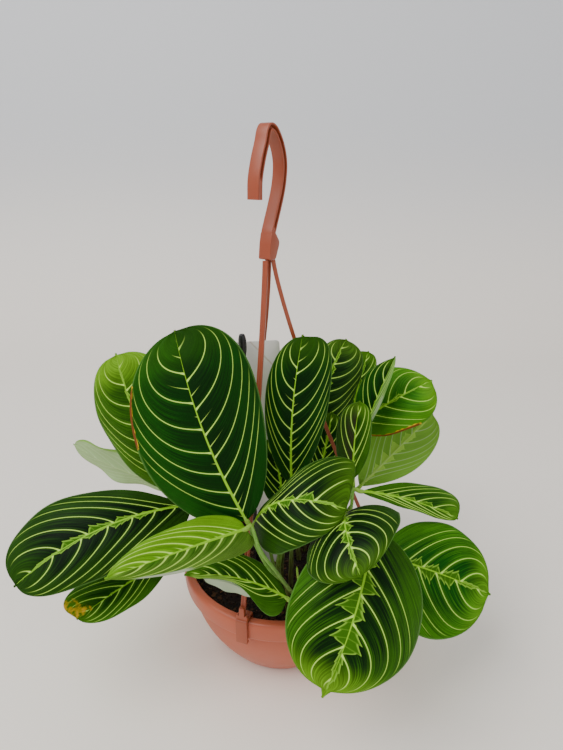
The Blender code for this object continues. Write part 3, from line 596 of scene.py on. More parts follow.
def pattern_group():
    """The maranta's markings, and a painted highlight along the margin, as masks from 0 to 1 and a
    height in a blade's own maps.
    """
    tree = bpy.data.node_groups.new("maranta_markings", "ShaderNodeTree")
    put = partial(add, tree)
    place, veins, lobes = [put(SPLIT, put(("ShaderNodeUVMap", {"uv_map": name}))).outputs
                           for name in ("place", "veins", "lobes")]
    share, across = place[:2]
    number, rate = veins[:2]
    out = put(ABSOLUTE, across)
    leaf_number, out_mm, strength = [put((ATTRIBUTE, {"attribute_name": name})).outputs["Fac"]
                                     for name in ("leaf", "out_mm", "feather")]

    # Side veins: pale lines that widen where they leave the midrib and fade by the margin
    distance = put(DIVIDE, put(FOLD, number, 0.5), rate)
    half = put(ADD, put(RAMP, out, 0.0, 0.9, 0.34, 0.14), put(SMOOTH, out, 0.0, 0.1, 0.3, 0.0))
    line = within(put, distance, half, 0.2, 0.15)
    fade = put(MULTIPLY, put(SMOOTH, out, 0.86, 0.98, 1.0, 0.0),
               put(SMOOTH, share, 0.88, 0.96, 1.0, 0.0))
    line = put(MULTIPLY, line, put(MULTIPLY, fade, put(SMOOTH, number, 0.5, 0.8)))

    # What luck brings each gap between two side veins, and each lobe of the feather
    skewed = put(MIX, 0.2, lobes[0], number)
    blade_key = put(ADD, put(MULTIPLY, leaf_number, 31.0), put(SIGN, across))
    gap_luck, lobe_luck = [put(LUCK, put(WHOLE, put(ADD, cell, blade_key)))
                           for cell in (put(MULTIPLY, put(FLOORED, number), 7.0),
                                        put(FLOORED, skewed))]

    # Short veins half way between some of them
    reach = put(RAMP, gap_luck, 0.25, 1.0, 0.01, 0.5)
    between = put(DIVIDE, put(FOLD, put(ADD, number, 0.5), 0.5), rate)
    widest = put(RAMP, strength, 0.06, 0.12, 0.3, -0.1)
    thin = put(RAMP, put(DIVIDE, out, reach), 0.0, 1.0, widest, -0.2)
    vein = put(GREATER, line, within(put, between, thin, 0.15, 0.12, 0.8))
    # The midrib narrows to nothing by the tip
    midrib = within(put, out_mm, put(RAMP, share, 0.0, 0.97, 0.85, 0.0), 0.25, 0.2)

    # Feather: lime lobes down both sides of the midrib. Each widens from one side vein almost
    # to the next, and its teeth are sharp and point towards the tip
    lobe = put(FRACTION, skewed)
    spread = put(MULTIPLY, put(RAMP, lobe, 0.0, 0.72, 0.25, 1.0),
                 put(SMOOTH, lobe, 0.74, 1.0, 1.0, 0.08))
    tooth = put(FRACTION, put(MULTIPLY, lobe, 4.0))
    ragged = put(MULTIPLY, put(RAMP, put(POWER, tooth, 1.6), 0.0, 1.0, 0.7, 1.0),
                 put(RAMP, lobe_luck, 0.0, 1.0, 0.5, 1.15))
    swell = put(MULTIPLY, put(SMOOTH, share, 0.0, 0.4, 0.35, 1.0),
                put(SMOOTH, share, 0.6, 0.93, 1.0, 0.35))
    extent = put(MULTIPLY, put(MULTIPLY, spread, ragged), put(MULTIPLY, swell, strength))
    feather = within(put, out, extent, 0.006, 0.006)
    outline = put(SMOOTH, out, put(SUBTRACT, extent, 0.05), put(SUBTRACT, extent, 0.008))
    rim = put(GREATER, outline, put(SMOOTH, tooth, 0.8, 0.95, 0.0, 0.3))

    # Fine streaks side by side, in line with the side veins, 17 to each gap between two
    track = put("ShaderNodeCombineXYZ", put(MULTIPLY, number, 17.0), put(MULTIPLY, across, 1.6),
                put(MULTIPLY, leaf_number, 9.0))
    stripe = put(RAMP, put(NOISE, track, Scale=1.0, Detail=1.0), 0.33, 0.67, 0.0, 0.5)

    # Dark patches by the feather, between the side veins
    near = put(SMOOTH, put(ADD, out, stripe), 0.45, 1.3, 1.0, 0.0)
    clear = put(SMOOTH, distance, 0.3, 2.2, 0.3, 1.0)
    before_tip = put(SMOOTH, share, 0.72, 0.95, 1.0, 0.15)
    inner = put(MULTIPLY, put(MULTIPLY, near, clear), before_tip)

    # The margin mask is a painted highlight: a thin pale line where light catches the blade's edge
    results = {"Vein": vein, "Midrib": midrib, "Feather": feather, "Rim": rim, "Inner": inner,
               "Stripe": put(MULTIPLY, stripe, 2.0), "MarginHighlight": put(SMOOTH, out, 0.965, 0.99),
               "Tip": put(SMOOTH, share, 0.74, 0.97),
               "Height": put(ADD, put(MULTIPLY, stripe, 0.16), put(MULTIPLY, midrib, 0.4))}
    for name in results:
        tree.interface.new_socket(name=name, in_out="OUTPUT", socket_type="NodeSocketFloat")
    put("NodeGroupOutput", *results.values())
    return tree


def leaf_material(name, group, upper):
    """Living maranta blade: waxy cells over soft tissue, so satin with broad highlights.

    The upper side carries the markings in full, and the underside shows them faintly
    through a paler, duller skin.
    """
    material, put, shader, coords = new_material(name)
    marks = put(("ShaderNodeGroup", {"node_tree": group})).outputs
    inner, outer = [put((ATTRIBUTE, {"attribute_name": part})).outputs["Color"]
                    for part in ("inner_green", "outer_green")]
    dry, limy, streaks, pale = [put((ATTRIBUTE, {"attribute_name": part})).outputs["Fac"]
                                for part in ("dry", "limy", "streaks", "pale")]
    # Blotches about 11 mm across, mottling of 3 mm in the dry patches, and cells of 0.6 mm
    blotch = put(NOISE, coords, Scale=90.0, Detail=3.0)
    mottle = put(NOISE, coords, Scale=300.0, Detail=3.0)
    grain = put(NOISE, coords, Scale=1600.0, Detail=2.0)

    # Greens between the veins, in blotches and streaks
    base = put(BLEND, marks["Inner"], outer, inner)
    base = put(BLEND, put(MULTIPLY, marks["Tip"], limy), base, "#6a9a18")
    striped = put(MIX, streaks, 1.0, put(RAMP, marks["Stripe"], 0.0, 1.0, 0.64, 1.36))
    tint = put(MULTIPLY, put(RAMP, blotch, 0.3, 0.7, 0.85, 1.15), striped)
    base = put(DARKEN, 1.0, base, put("ShaderNodeCombineColor", tint, tint, tint))
    lime = put(BLEND, marks["Tip"], "#356406", "#6c9c14")
    lime = put(BLEND, marks["Rim"], lime, "#7fae36")
    if not upper:
        base = put(BLEND, 0.62, base, "#8ab84a")
        lime = put(BLEND, 0.75, lime, "#a4d054")

    # A dried patch is straw at first and brown where it is driest
    brown = put(BLEND, put(RAMP, mottle, 0.45, 0.65), "#8a8420", "#d8a828")
    brown = put(BLEND, put(RAMP, dry, 0.75, 1.0), brown, "#7a3c1c")
    ragged = put(MULTIPLY, dry, put(RAMP, mottle, 0.3, 0.7, 0.3, 1.7))
    for mask, tone in (
            (marks["Feather"], lime),
            (put(MULTIPLY, marks["Vein"], 0.92 if upper else 0.55),
             "#c2ee66" if upper else "#b4cc90"),
            (marks["Midrib"], "#8cc428" if upper else "#a4c862"),
            # Painted highlight: a thin pale line along the margin
            (put(MULTIPLY, marks["MarginHighlight"], 0.45), "#6a9a48"),
            (put(MULTIPLY, pale, 0.85), "#b9c4ac"),
            (put(SMOOTH, ragged, 0.35, 0.7, 0.0, 0.9), brown)):
        base = put(BLEND, mask, base, tone)

    smoothest, roughest = (0.42, 0.56) if upper else (0.5, 0.66)
    relief = put(ADD, marks["Height"], put(MULTIPLY, grain, 0.12))
    feed(shader, Base_Color=base, Roughness=put(RAMP, grain, 0.2, 0.8, smoothest, roughest),
         Normal=put(BUMP, Height=relief, Strength=0.5, Distance=0.6 * MM),
         IOR=1.42, Specular_IOR_Level=0.09)
    return material


def build_blades():
    group = pattern_group()
    upper = leaf_material("maranta_blade_upper", group, True)
    under = leaf_material("maranta_blade_underside", group, False)
    for number, shape in enumerate(LEAVES, start=1):
        name = f"leaf_{number:02d}_blade"
        piece = new_object(name + "_skin", blade_mesh(number, shape), upper, under)
        finish_piece(piece, "leaf_blade", name)


# ---------------- stalks and shoots

def sweep_tree():
    """Nodes that sweep a round stalk along a line of points, with a radius along its length."""
    put, given, tree = new_tree("stalk_sweep", path="Geometry", foot="Float", middle="Float",
                                joint="Float", end="Float", sheath_share="Float",
                                joint_length="Float", surface="Material")
    line = put("GeometryNodeMeshToCurve", given["path"])
    line = put(("GeometryNodeResampleCurve", {"mode": "LENGTH"}), line, Length=1.2 * MM)
    place = put("GeometryNodeSplineParameter").outputs
    share = place["Factor"]
    left = put(SUBTRACT, put("GeometryNodeSplineLength").outputs["Length"], place["Length"])
    sheath = put(SMOOTH, share, 0.0, given["sheath_share"], given["foot"], given["middle"])
    joint_length = given["joint_length"]
    swell = put(SMOOTH, left, joint_length, put(MULTIPLY, joint_length, 0.6))
    taper = put(SMOOTH, left, 0.0, 2 * MM, given["end"], given["joint"])
    radius = put(MIX, swell, sheath, taper)
    line = put(STORE, line, None, "along", share)
    line = put(STORE, line, None, "joint", swell)
    ring = put("GeometryNodeCurvePrimitiveCircle", Resolution=14, Radius=1.0)
    skin = put("GeometryNodeCurveToMesh", line, ring, radius, True)
    skin = put("GeometryNodeSetShadeSmooth", skin)
    skin = put("GeometryNodeSetMaterial", skin, None, given["surface"])
    put("NodeGroupOutput", put("GeometryNodeRealizeInstances", skin))
    return tree


def smooth_path(points, steps):
    """Catmull-Rom points through the given ones, steps to each span."""
    points = [np.array(point, float) for point in points]
    ends = [2 * points[0] - points[1]] + points + [2 * points[-1] - points[-2]]
    path = []
    for a, b, c, d in zip(ends, ends[1:], ends[2:], ends[3:]):
        for k in range(steps):
            t = k / steps
            path.append(0.5 * (2 * b + (c - a) * t + (2 * a - 5 * b + 4 * c - d) * t ** 2
                               + (3 * b - a - 3 * c + d) * t ** 3))
    return path + [points[-1]]


def soil_height(radius):
    share = min(radius / LIP_RADIUS, 1.0)
    return SOIL_EDGE_HEIGHT + SOIL_CROWN * (1 - share ** 2)


def stalk_path(shape):
    """From just below the soil's surface, up into the blade's midrib."""
    blade = Blade(shape, 0)
    x, y = shape.foot
    foot = np.array((x, y, soil_height(math.hypot(x, y)) + 0.6))
    low, sprout, rise = [foot + (0, 0, above) for above in (-1.5, 3, 10)]
    start = blade.along(0.001)
    end = blade.base - start * BLADE_CLEARANCE
    bend = end - start * shape.neck
    under = blade.midrib(2.5 / blade.length) - blade.lift * 0.5
    return [low] + smooth_path([sprout, rise, *shape.via, bend, end], 8) + [under]


def stalk_material():
    """Living stalk: a fleshy, ribbed stem under a thin waxy skin, so satin and a little soft.

    It is green above, yellower at the swollen joint under the blade, and dark towards its
    foot: partly the brownish sheath and partly painted shade low in the clump.
    """
    material, put, shader, coords = new_material("maranta_stalk")
    along, joint = [put((ATTRIBUTE, {"attribute_name": name})).outputs["Fac"]
                    for name in ("along", "joint")]
    # Blotches about 4 mm across, and long ribs about 0.6 mm apart
    blotch = put(NOISE, coords, Scale=260.0, Detail=3.0)
    ribs = put(NOISE, put("ShaderNodeMapping", coords, Scale=(1800.0, 1800.0, 110.0)), Scale=1.0,
               Detail=1.0)
    base = put(BLEND, blotch, "#3f7417", "#6d9c3a")
    # Darker towards the foot: the brownish sheath, with painted shade where the clump is dark at
    # its base
    foot = put(BLEND, blotch, "#2f3f14", "#4a2f1c")
    for mask, tone in ((put(SMOOTH, along, 0.1, 0.75, 1.0, 0.0), foot),
                       (put(MULTIPLY, joint, 0.7), "#8fb83a"),
                       (put(RAMP, ribs, 0.35, 0.65, 0.0, 0.15), "#c0d68c")):
        base = put(BLEND, mask, base, tone)
    feed(shader, Base_Color=base, Roughness=0.42, IOR=1.42, Specular_IOR_Level=0.2,
         Normal=put(BUMP, Height=ribs, Strength=0.4, Distance=0.4 * MM),
         Subsurface_Weight=0.12, Subsurface_Radius=(0.002, 0.004, 0.001))
    return material


def build_stalk(name, path, look, sheath_share, **sizes):
    """Grow one stalk or shoot along its path."""
    mesh = bpy.data.meshes.new(name)
    mesh.from_pydata(in_metres(path), [(k, k + 1) for k in range(len(path) - 1)], [])
    sizes = {key: size * MM for key, size in sizes.items()}
    thing = grown(new_object(name + "_skin", mesh), sheath_share=sheath_share, **look, **sizes)
    finish_piece(thing, "leaf_stalk", name)


def build_stalks():
    look = dict(tree=sweep_tree(), surface=stalk_material())
    for number, shape in enumerate(LEAVES, start=1):
        build_stalk(f"leaf_{number:02d}_stalk", stalk_path(shape), look, 0.5,
                    foot=STALK_RADIUS * 1.35, middle=STALK_RADIUS * 0.82,
                    joint=STALK_RADIUS * 1.05, end=STALK_RADIUS * 0.6, joint_length=9)
    for number, points in enumerate(SHOOTS, start=1):
        build_stalk(f"young_shoot_{number}", smooth_path(points, 8), look, 0.6,
                    foot=SHOOT_RADIUS, middle=SHOOT_RADIUS * 0.9, joint=0.6, end=0.1,
                    joint_length=16)


# ---------------- shapes for moulded plastic

def rounded(corners, closed, steps=4):
    """Points along (x, y, radius) corners, each turned with its own radius."""
    spots = [np.array(corner[:2], float) for corner in corners]
    last = len(corners) - 1
    line = []
    for k, spot in enumerate(spots):
        before = spots[k - 1] - spot
        after = spots[(k + 1) % (last + 1)] - spot
        radius = corners[k][2]
        if radius == 0 or (not closed and k in (0, last)):
            line.append(spot)
            continue
        reach = min(radius, 0.45 * np.linalg.norm(before), 0.45 * np.linalg.norm(after))
        start = spot + unit(before) * reach
        end = spot + unit(after) * reach
        for step in range(steps + 1):
            t = step / steps
            line.append(start * (1 - t) ** 2 + spot * 2 * t * (1 - t) + end * t ** 2)
    return line


def closed_mesh(name, verts, faces):
    """A mesh whose faces all look outwards, smooth but for its sharp edges."""
    mesh = bpy.data.meshes.new(name)
    mesh.from_pydata(in_metres(verts), [], faces)
    with editing(mesh) as work:
        bmesh.ops.recalc_face_normals(work, faces=work.faces)
    return shaded(mesh)


def shaded(mesh):
    mesh.shade_smooth()
    mesh.set_sharp_from_angle(angle=math.radians(40))
    return mesh


def lathe(name, profile, steps):
    """Spin (radius, height) points, the first and last of them on the axis, round Z."""
    verts = [(0, 0, profile[0][1]), (0, 0, profile[-1][1])]
    rings = profile[1:-1]
    for radius, height in rings:
        for k in range(steps):
            angle = 2 * math.pi * k / steps
            verts.append((radius * math.cos(angle), radius * math.sin(angle), height))
    faces = []
    last = 2 + (len(rings) - 1) * steps
    for k in range(steps):
        n = (k + 1) % steps
        faces.append((0, 2 + k, 2 + n))
        faces.append((1, last + n, last + k))
        for a in range(2, last, steps):
            faces.append((a + k, a + steps + k, a + steps + n, a + n))
    return closed_mesh(name, verts, faces)


def swept(name, frames, sections):
    """A bar whose closed (u, v) section follows frames of (place, u direction, v direction)."""
    verts = []
    for (place, across, up), section in zip(frames, sections):
        verts += [place + across * u + up * v for u, v in section]
    size = len(sections[0])
    last = len(verts) - size
    faces = [tuple(range(size)), tuple(range(last, len(verts)))]
    for a in range(0, last, size):
        for k in range(size):
            n = (k + 1) % size
            faces.append((a + k, a + n, a + size + n, a + size + k))
    return closed_mesh(name, verts, faces)


def plate(name, outline, thickness, matrix, bevel):
    """A flat outline in a matrix's own plane, with its thickness and softened edges."""
    x, y, z, middle = [np.array(column[:3]) for column in matrix.transposed()]
    frames = [(middle + z * half, x, y) for half in (thickness / 2, -thickness / 2)]
    mesh = swept(name, frames, [outline, outline])
    with editing(mesh) as work:
        rim = [edge for edge in work.edges if edge.calc_face_angle(0) > math.radians(50)]
        bmesh.ops.bevel(work, geom=rim, offset=bevel * MM, segments=2, affect="EDGES",
                        profile=0.6)
    return shaded(mesh)


def joined(name, meshes, *materials):
    """One object that holds several meshes."""
    whole = bpy.data.meshes.new(name)
    with editing(whole) as work:
        for mesh in meshes:
            work.from_mesh(mesh)
    return new_object(name, whole, *materials)


def upright_plane(origin, out):
    """Matrix that takes local X to the level direction out and local Y to +Z."""
    x = Vector((out[0], out[1], 0)).normalized()
    y = Vector((0, 0, 1))
    return Matrix.Translation(origin) @ Matrix((x, y, x.cross(y))).transposed().to_4x4()


def bar_frames(line, plane):
    """Frames for a bar along an (x, y) line in a plane, u in the plane and v across it."""
    turn = plane.to_3x3()
    up = np.array(turn @ Vector((0, 0, 1)))
    frames = []
    for k, spot in enumerate(line):
        along = unit(line[min(k + 1, len(line) - 1)] - line[max(k - 1, 0)])
        side = turn @ Vector((-along[1], along[0], 0))
        frames.append((np.array(plane @ Vector((*spot, 0))), np.array(side), up))
    return frames


# ---------------- pot and soil

def plastic_material(name, dark, light, rough):
    """Moulded polypropylene: dyed through, so even in colour, with a soft sheen.

    Its skin is very slightly wavy from the mould, and specks of soil stick to it as high as
    the pot's rim.
    """
    material, put, shader, coords = new_material(name)
    # Waves about 22 mm across, grain of 1 mm, and a speck in some of the cells 9 mm apart
    cloud = put(NOISE, coords, Scale=45.0, Detail=4.0)
    grain = put(NOISE, coords, Scale=900.0, Detail=2.0)
    spots = put(CELLS, coords, Scale=110.0).outputs
    chosen = put("ShaderNodeSeparateColor", spots["Color"]).outputs[0]
    splash_top = 67 * MM
    low = put(BELOW, put(SPLIT, coords).outputs["Z"], splash_top)
    size = put(MULTIPLY, put(RAMP, chosen, 0.88, 1.0, 0.0, 0.14), low)
    speck = put(MULTIPLY, put(BELOW, spots["Distance"], size), 0.75)
    base = put(BLEND, speck, put(BLEND, cloud, dark, light), "#3a1c12")
    height = put(ADD, put(MULTIPLY, cloud, 0.8), put(MULTIPLY, grain, 0.12))
    feed(shader, Base_Color=base, Roughness=put(RAMP, cloud, 0.3, 0.7, rough - 0.06, rough + 0.1),
         Normal=put(BUMP, Height=height, Strength=0.25, Distance=0.8 * MM), IOR=1.49,
         Subsurface_Weight=0.08, Subsurface_Radius=(0.003, 0.001, 0.0006))
    return material


def pot_outer_radius(height):
    share = min(max(height / BAND_BOTTOM, 0.0), 1.0)
    swell = math.sin(share * math.pi / 2) ** 0.9
    return BASE_RADIUS + (BAND_RADIUS - BAND_STEP - BASE_RADIUS) * swell


def bowl_line(steps, inset, low, high):
    """The bowl's wall from one height to another, set in from its outside."""
    heights = [low + (high - low) * k / steps for k in range(steps + 1)]
    return [(pot_outer_radius(height) - inset, height) for height in heights]


def build_pot(plastic):
    """Bowl with a rounded rim band that stands out from it, and drain holes in the base."""
    inside = bowl_line(24, WALL, FLOOR, BAND_BOTTOM - 1)
    outside = bowl_line(30, 0, 1.2, BAND_BOTTOM - 1.5)[::-1]
    band = rounded([
        (*inside[-1], 0), (LIP_RADIUS, BAND_BOTTOM + 3, 2),
        (LIP_RADIUS, RIM_HEIGHT, 1.6), (RIM_RADIUS, RIM_HEIGHT, 3),
        (RIM_RADIUS + 0.3, RIM_HEIGHT - 6, 5),
        (BAND_RADIUS, BAND_BOTTOM - 0.2, 1.4),
        (outside[0][0] + 0.3, BAND_BOTTOM + 0.2, 0.5), (*outside[0], 0)], False)
    hollow = 0.8
    foot = rounded([
        (*outside[-1], 0), (BASE_RADIUS, 0, 1.5), (BASE_RADIUS - 3, 0, 0.6),
        (BASE_RADIUS - 4, hollow, 0.6), (0, hollow, 0)], False)
    profile = [(0, FLOOR)] + inside[:-1] + band + outside[1:-1] + foot
    pot = new_object("pot_shell", lathe("pot_shell", profile, 160), plastic)
    cut_drains(pot)
    finish_piece(pot, "terracotta_plastic", "pot")


def cut_drains(pot):
    """Cut the ring of drain holes through the pot's base."""
    mesh = bpy.data.meshes.new("drains")
    with editing(mesh) as work:
        for k in range(DRAIN_HOLES):
            angle = 2 * math.pi * (k + 0.5) / DRAIN_HOLES
            place = Vector((math.cos(angle), math.sin(angle), 0)) * DRAIN_CIRCLE * MM
            bmesh.ops.create_cone(work, cap_ends=True, segments=24, radius1=DRAIN_RADIUS * MM,
                                  radius2=DRAIN_RADIUS * MM, depth=4 * FLOOR * MM,
                                  matrix=Matrix.Translation(place))
    cutter = new_object("drains", mesh)
    holes = pot.modifiers.new("drains", "BOOLEAN")
    holes.operation = "DIFFERENCE"
    holes.object = cutter
    settle(pot)
    bpy.data.objects.remove(cutter)


def crumbs_tree():
    """Nodes that strew crumbs of bark and peat over the upward faces of a mesh."""
    put, given, tree = new_tree("soil_crumbs", ground="Geometry", density="Float", seed="Int",
                                crumb="Material")
    normal = put(SPLIT, put("GeometryNodeInputNormal")).outputs
    level = put(("FunctionNodeCompare", {"operation": "GREATER_THAN"}), normal["Z"], 0.35)
    spots = put("GeometryNodeDistributePointsOnFaces", given["ground"], level,
                Density=given["density"], Seed=given["seed"])
    spots = put(STORE, spots, None, "luck", put("FunctionNodeRandomValue"))
    size = put(RANDOM_VECTOR, (0.0005, 0.0004, 0.0003), (0.0022, 0.0015, 0.0011), Seed=3)
    turn = put(RANDOM_VECTOR, (-0.5, -0.5, 0.0), (0.5, 0.5, 6.28), Seed=5)
    crumb = put("GeometryNodeMeshIcoSphere", Radius=1.0, Subdivisions=1)
    bits = put("GeometryNodeInstanceOnPoints", spots, None, crumb, Rotation=turn, Scale=size)
    bits = put("GeometryNodeSetMaterial", bits, None, given["crumb"])
    whole = put("GeometryNodeJoinGeometry", bits)
    feed(whole, given["ground"])
    put("NodeGroupOutput", put("GeometryNodeRealizeInstances", whole))
    return tree


def soil_material(name, scale, dark, light):
    """Moist peat and bark: rough, nearly black fibres with paler woody bits, no shine.

    The scale is the lumps to a metre, so 260 gives lumps of 4 mm and 500 gives 2 mm.
    """
    material, put, shader, coords = new_material(name)
    lumps = put(NOISE, coords, Scale=scale, Detail=6.0, Roughness=0.7)
    luck = put((ATTRIBUTE, {"attribute_name": "luck"})).outputs["Fac"]
    mix = put(ADD, put(RAMP, lumps, 0.4, 0.72, 0.0, 0.6), put(RAMP, luck, 0.6, 1.0, 0.0, 0.8))
    height = put(ADD, lumps, put(CELLS, coords, Scale=scale * 1.7))
    feed(shader, Base_Color=put(BLEND, mix, dark, light), Roughness=0.92,
         Normal=put(BUMP, Height=height, Strength=0.9, Distance=2 * MM), Specular_IOR_Level=0.25)
    return material


def build_soil():
    """The root ball, with a lumpy top and crumbs strewn on it."""
    bottom = FLOOR + 0.3
    wall = bowl_line(12, WALL + 0.45, bottom, SOIL_EDGE_HEIGHT - 0.5)
    edge = wall[-1][0]
    top = [(edge * k / 40, soil_height(edge * k / 40)) for k in range(41)]
    mesh = lathe("soil", [(0, bottom)] + wall + top[::-1][1:], 120)
    for vert in mesh.vertices:
        x, y, z = vert.co
        if z < (SOIL_EDGE_HEIGHT - 0.1) * MM:
            continue
        lump = math.sin(410 * x + 1.3) * math.sin(370 * y) + 0.6 * math.sin(900 * x - 700 * y)
        vert.co.z += 0.5 * MM * lump
    soil = new_object("soil_ball", mesh, soil_material("moist_peat", 260.0, "#0c0806", "#3a2415"))
    crumb = soil_material("bark_crumbs", 500.0, "#120b07", "#5f4128")
    grown(soil, crumbs_tree(), density=150000.0, seed=4, crumb=crumb)
    finish_piece(soil, "potting_soil", "potting_soil")


# ---------------- hanger

def hook_section(groove):
    """The hook bar's outline as (in its plane, across it), with a groove share in each side."""
    deep = HOOK_DEPTH / 2
    wide = HOOK_WIDTH / 2
    flange = deep - HOOK_FLANGE
    web = wide - 0.02 - groove * (HOOK_WIDTH - HOOK_WEB) / 2
    outer = 0.45
    inner = 0.25
    half = [(deep, -wide, outer), (deep, wide, outer), (flange, wide, inner), (flange, web, inner),
            (-flange, web, inner), (-flange, wide, inner), (-deep, wide, outer)]
    other = [(-x, -y, radius) for x, y, radius in half[2:6]]
    return rounded(half + [(-deep, -wide, outer)] + other, True, 3)


def build_hook(plastic):
    """An I-shaped bar bent to a hook, with a collar at its foot that the arms meet."""
    plane = upright_plane(APEX, (math.cos(HOOK_TURN), math.sin(HOOK_TURN)))
    line = smooth_path(HOOK_POINTS, 10)
    # The grooves in its sides start above the collar and run out before the hook's end
    fade = 6
    grooves = [min(max(k - 16, 0) / fade, max(len(line) - 10 - k, 0) / fade, 1.0)
               for k in range(len(line))]
    bar = swept("hook_bar", bar_frames(line, plane), [hook_section(depth) for depth in grooves])
    outline = rounded([(x, y, 1.2) for x, y in COLLAR_OUTLINE], True)
    collar = plate("hook_collar", outline, HOOK_WIDTH + 0.3, plane, 0.4)
    finish_piece(joined("hook", (bar, collar), plastic), "terracotta_plastic", "hanger_hook")


def arm_line(reach, flare):
    """An arm's path, as (distance out from the apex, height)."""
    top = APEX.z - 0.3
    seat = RIM_HEIGHT + CLIP_GAP + ARM_THICKNESS / 2
    shares = [k / 60 for k in range(61)]
    return [np.array((ARM_START + (reach - ARM_START) * s ** flare, top + (seat - top) * s))
            for s in shares]


def strap_outline():
    """The clip over the rim band, as (distance from the pot's axis, height, corner radius)."""
    inside = LIP_RADIUS - CLIP_GAP
    outside = RIM_RADIUS + 0.5
    over = RIM_HEIGHT + CLIP_GAP
    thick = 1.8
    low = BAND_BOTTOM - 0.6
    hem = outside - 1.4
    soft = 0.5
    return [(inside - thick, over - 5, soft), (inside, over - 5, 0), (inside, over, soft),
            (outside, over, soft), (outside, low, 0), (hem, low - 0.7, 0),
            (hem, low - 1.4, soft), (outside + thick, low - 1.4, soft),
            (outside + thick, over + thick, 1.5), (inside - thick, over + thick, 1.2)]


def build_arm(name, clip, flare, shift, plastic):
    """A bar from the collar to the rim, with a clip round the band and shoulders above it."""
    clip = np.array(clip, float)
    apex = np.array(APEX[:2]) + (shift, 0)
    line = arm_line(np.linalg.norm(clip - apex), flare)
    deep = ARM_THICKNESS / 2
    wide = ARM_WIDTH / 2
    soft = 0.5
    groove = 0.35
    section = rounded([
        (-deep, -wide, soft), (deep, -wide, soft), (deep, -wide / 3, groove),
        (deep - groove, 0, groove), (deep, wide / 3, groove), (deep, wide, soft),
        (-deep, wide, soft)], True, 3)
    plane = upright_plane((*apex, 0), clip - apex)
    bar = swept("arm_bar", bar_frames(line, plane), [section] * len(line))
    out = unit(clip)
    strap = plate("arm_strap", rounded(strap_outline(), True), CLIP_WIDTH,
                  upright_plane((0, 0, 0), out), 0.4)
    top = RIM_HEIGHT + 1.2
    half = CLIP_WIDTH / 2
    side = [(half, top - 3, 0), (half, top + 3.5, 0.8),
            (half - 1, top + 4.5, 0.8), (wide + 0.2, top + 3, 1.5),
            (wide, top + 9, 0)]
    other = [(-x, y, radius) for x, y, radius in side[::-1]]
    face = upright_plane((*out * (RIM_RADIUS + 0.3), 0), (-out[1], out[0]))
    ears = plate("arm_ears", rounded(side + other, True), 2, face, 0.3)
    piece = joined(f"arm_{name}", (bar, strap, ears), plastic)
    finish_piece(piece, "terracotta_plastic", f"hanger_arm_{name}")


# ---------------- label

def card_material():
    """Coated card: a smooth off-white with a soft shine, and a crease across it with a tan painted
    shadow along it.
    """
    material, put, shader, coords = new_material("coated_card")
    axes = put(SPLIT, coords).outputs
    cloud = put(NOISE, coords, Scale=70.0, Detail=4.0)
    crease_slope = 1.1
    crease_height = 0.193
    slope = put(ADD, axes["Z"], put(MULTIPLY, axes["X"], crease_slope))
    away = put(ABSOLUTE, put(SUBTRACT, slope, crease_height))
    crease_shade = put(SMOOTH, away, 0.0, 1.2 * MM, 0.75, 0.0)
    base = put(BLEND, cloud, "#cfcac3", "#dedbd6")
    # The tan band along the crease is a painted shadow of the fold
    base = put(BLEND, put(MULTIPLY, crease_shade, cloud), base, "#a98c62")
    feed(shader, Base_Color=base, Roughness=0.3,
         Normal=put(BUMP, Height=crease_shade, Strength=0.5, Distance=0.4 * MM))
    return material


def build_label(stake_plastic):
    """A blank stick-in card, and a round-headed stake beside it."""
    foot = CARD_FOOT_WIDTH / 2
    half = CARD_WIDTH / 2
    outline = rounded([
        (-foot, 0, 1), (foot, 0, 1), (half, CARD_SHOULDER, 6), (half, CARD_HEIGHT, 2.5),
        (-half, CARD_HEIGHT, 2.5), (-half, CARD_SHOULDER, 6)], True, 6)
    matrix = (Matrix.Translation((*CARD_PLACE, LABEL_FOOT)) @ Matrix.Rotation(CARD_TILT, 4, "Y")
              @ Matrix.Rotation(math.radians(90), 4, "X"))
    sheet = plate("card_sheet", outline, CARD_THICKNESS, matrix, 0.1)
    card = joined("card", [sheet], card_material())
    finish_piece(card, "label_card", "label_card")
    top = STAKE_LENGTH
    rod = STAKE_RADIUS
    head = STAKE_HEAD_RADIUS
    profile = rounded([
        (0, 0, 0), (0.8, 0.4, 0.3), (rod, 10, 2), (rod, top - 13.5, 3), (head, top - 9, 2),
        (head, top - 3, 2.5), (1.5, top, 1.5), (0, top, 0)], False, 6)
    mesh = lathe("stake_rod", profile, 28)
    place = Vector((*STAKE_PLACE, LABEL_FOOT)) * MM
    mesh.transform(Matrix.Translation(place) @ Matrix.Rotation(STAKE_TILT, 4, "Y"))
    finish_piece(new_object("stake", mesh, stake_plastic), "stake_plastic", "label_stake")


# ---------------- floor, camera and lights, in metres

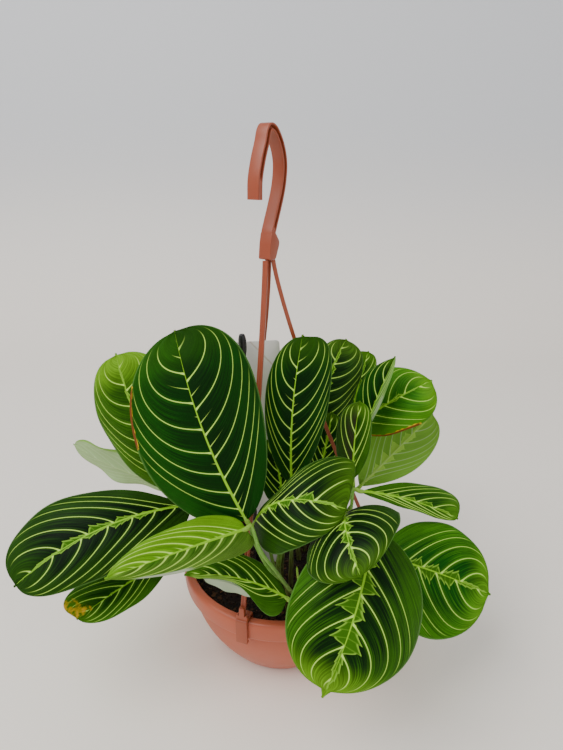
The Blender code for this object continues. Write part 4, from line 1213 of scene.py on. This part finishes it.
def build_floor():
    """A pale table top that sweeps up into a pale wall behind the plant."""
    bend = 0.3
    start = 0.55
    front = -2.0
    wall_top = 2.5
    half = 2.5
    side_on = [(front, 0.0), (start, 0.0)]
    for k in range(1, 13):
        angle = math.radians(7.5 * k)
        side_on.append((start + bend * math.sin(angle), bend - bend * math.cos(angle)))
    side_on.append((start + bend, wall_top))
    verts = [(x, y, z) for y, z in side_on for x in (-half, half)]
    faces = [(2 * k, 2 * k + 1, 2 * k + 3, 2 * k + 2) for k in range(len(side_on) - 1)]
    mesh = bpy.data.meshes.new("floor")
    mesh.from_pydata(verts, [], faces)
    mesh.shade_smooth()
    material, put, shader, coords = new_material("pale_floor")
    height = put(SPLIT, coords).outputs["Z"]
    base = put(BLEND, put(SMOOTH, height, 0.0, 0.4), "#fbf3e8", "#d8dade")
    feed(shader, Base_Color=base, Roughness=0.6)
    new_object("floor", mesh, material)


def build_camera():
    camera = new_object("camera", bpy.data.cameras.new("camera"))
    camera.location = CAMERA_PLACE
    camera.rotation_euler = (CAMERA_PITCH, 0, 0)
    camera.data.sensor_width = 36
    camera.data.lens = CAMERA_LENS
    bpy.context.scene.camera = camera


def add_light(name, place, size, power, tint):
    """A square light panel that faces the middle of the plant."""
    data = bpy.data.lights.new(name, "AREA")
    data.size = size
    data.energy = power
    data.color = tint
    light = new_object(name, data)
    light.location = place
    away = Vector(PLANT_MIDDLE) - Vector(place)
    light.rotation_euler = away.to_track_quat("-Z", "Y").to_euler()


def build_lights():
    add_light("key", (-0.7, -0.5, 1.3), 1.0, 17, (1, 0.99, 0.97))
    add_light("fill", (1.2, -1.0, 0.9), 1.2, 5, (0.96, 0.98, 1))
    world = bpy.data.worlds.new("studio")
    world.use_nodes = True
    feed(world.node_tree.nodes["Background"], Color="#e8eaee", Strength=SKY_STRENGTH)
    bpy.context.scene.world = world


build_camera()
build_lights()
build_floor()
build_blades()
build_stalks()
terracotta = plastic_material("terracotta_polypropylene", "#a84b30", "#bb6040", 0.4)
build_pot(terracotta)
build_soil()
# The hanger's plastic is a darker copy of the pot's: painted shade, for the duller reflection its
# flat faces catch
shaded_hanger_plastic = plastic_material("hanger_polypropylene_shaded", "#8c3d26", "#a3502f", 0.36)
build_hook(shaded_hanger_plastic)
for side, clip, flare, shift in ARMS:
    build_arm(side, clip, flare, shift, shaded_hanger_plastic)
build_label(plastic_material("black_polypropylene", "#0c0c0d", "#18181a", 0.35))
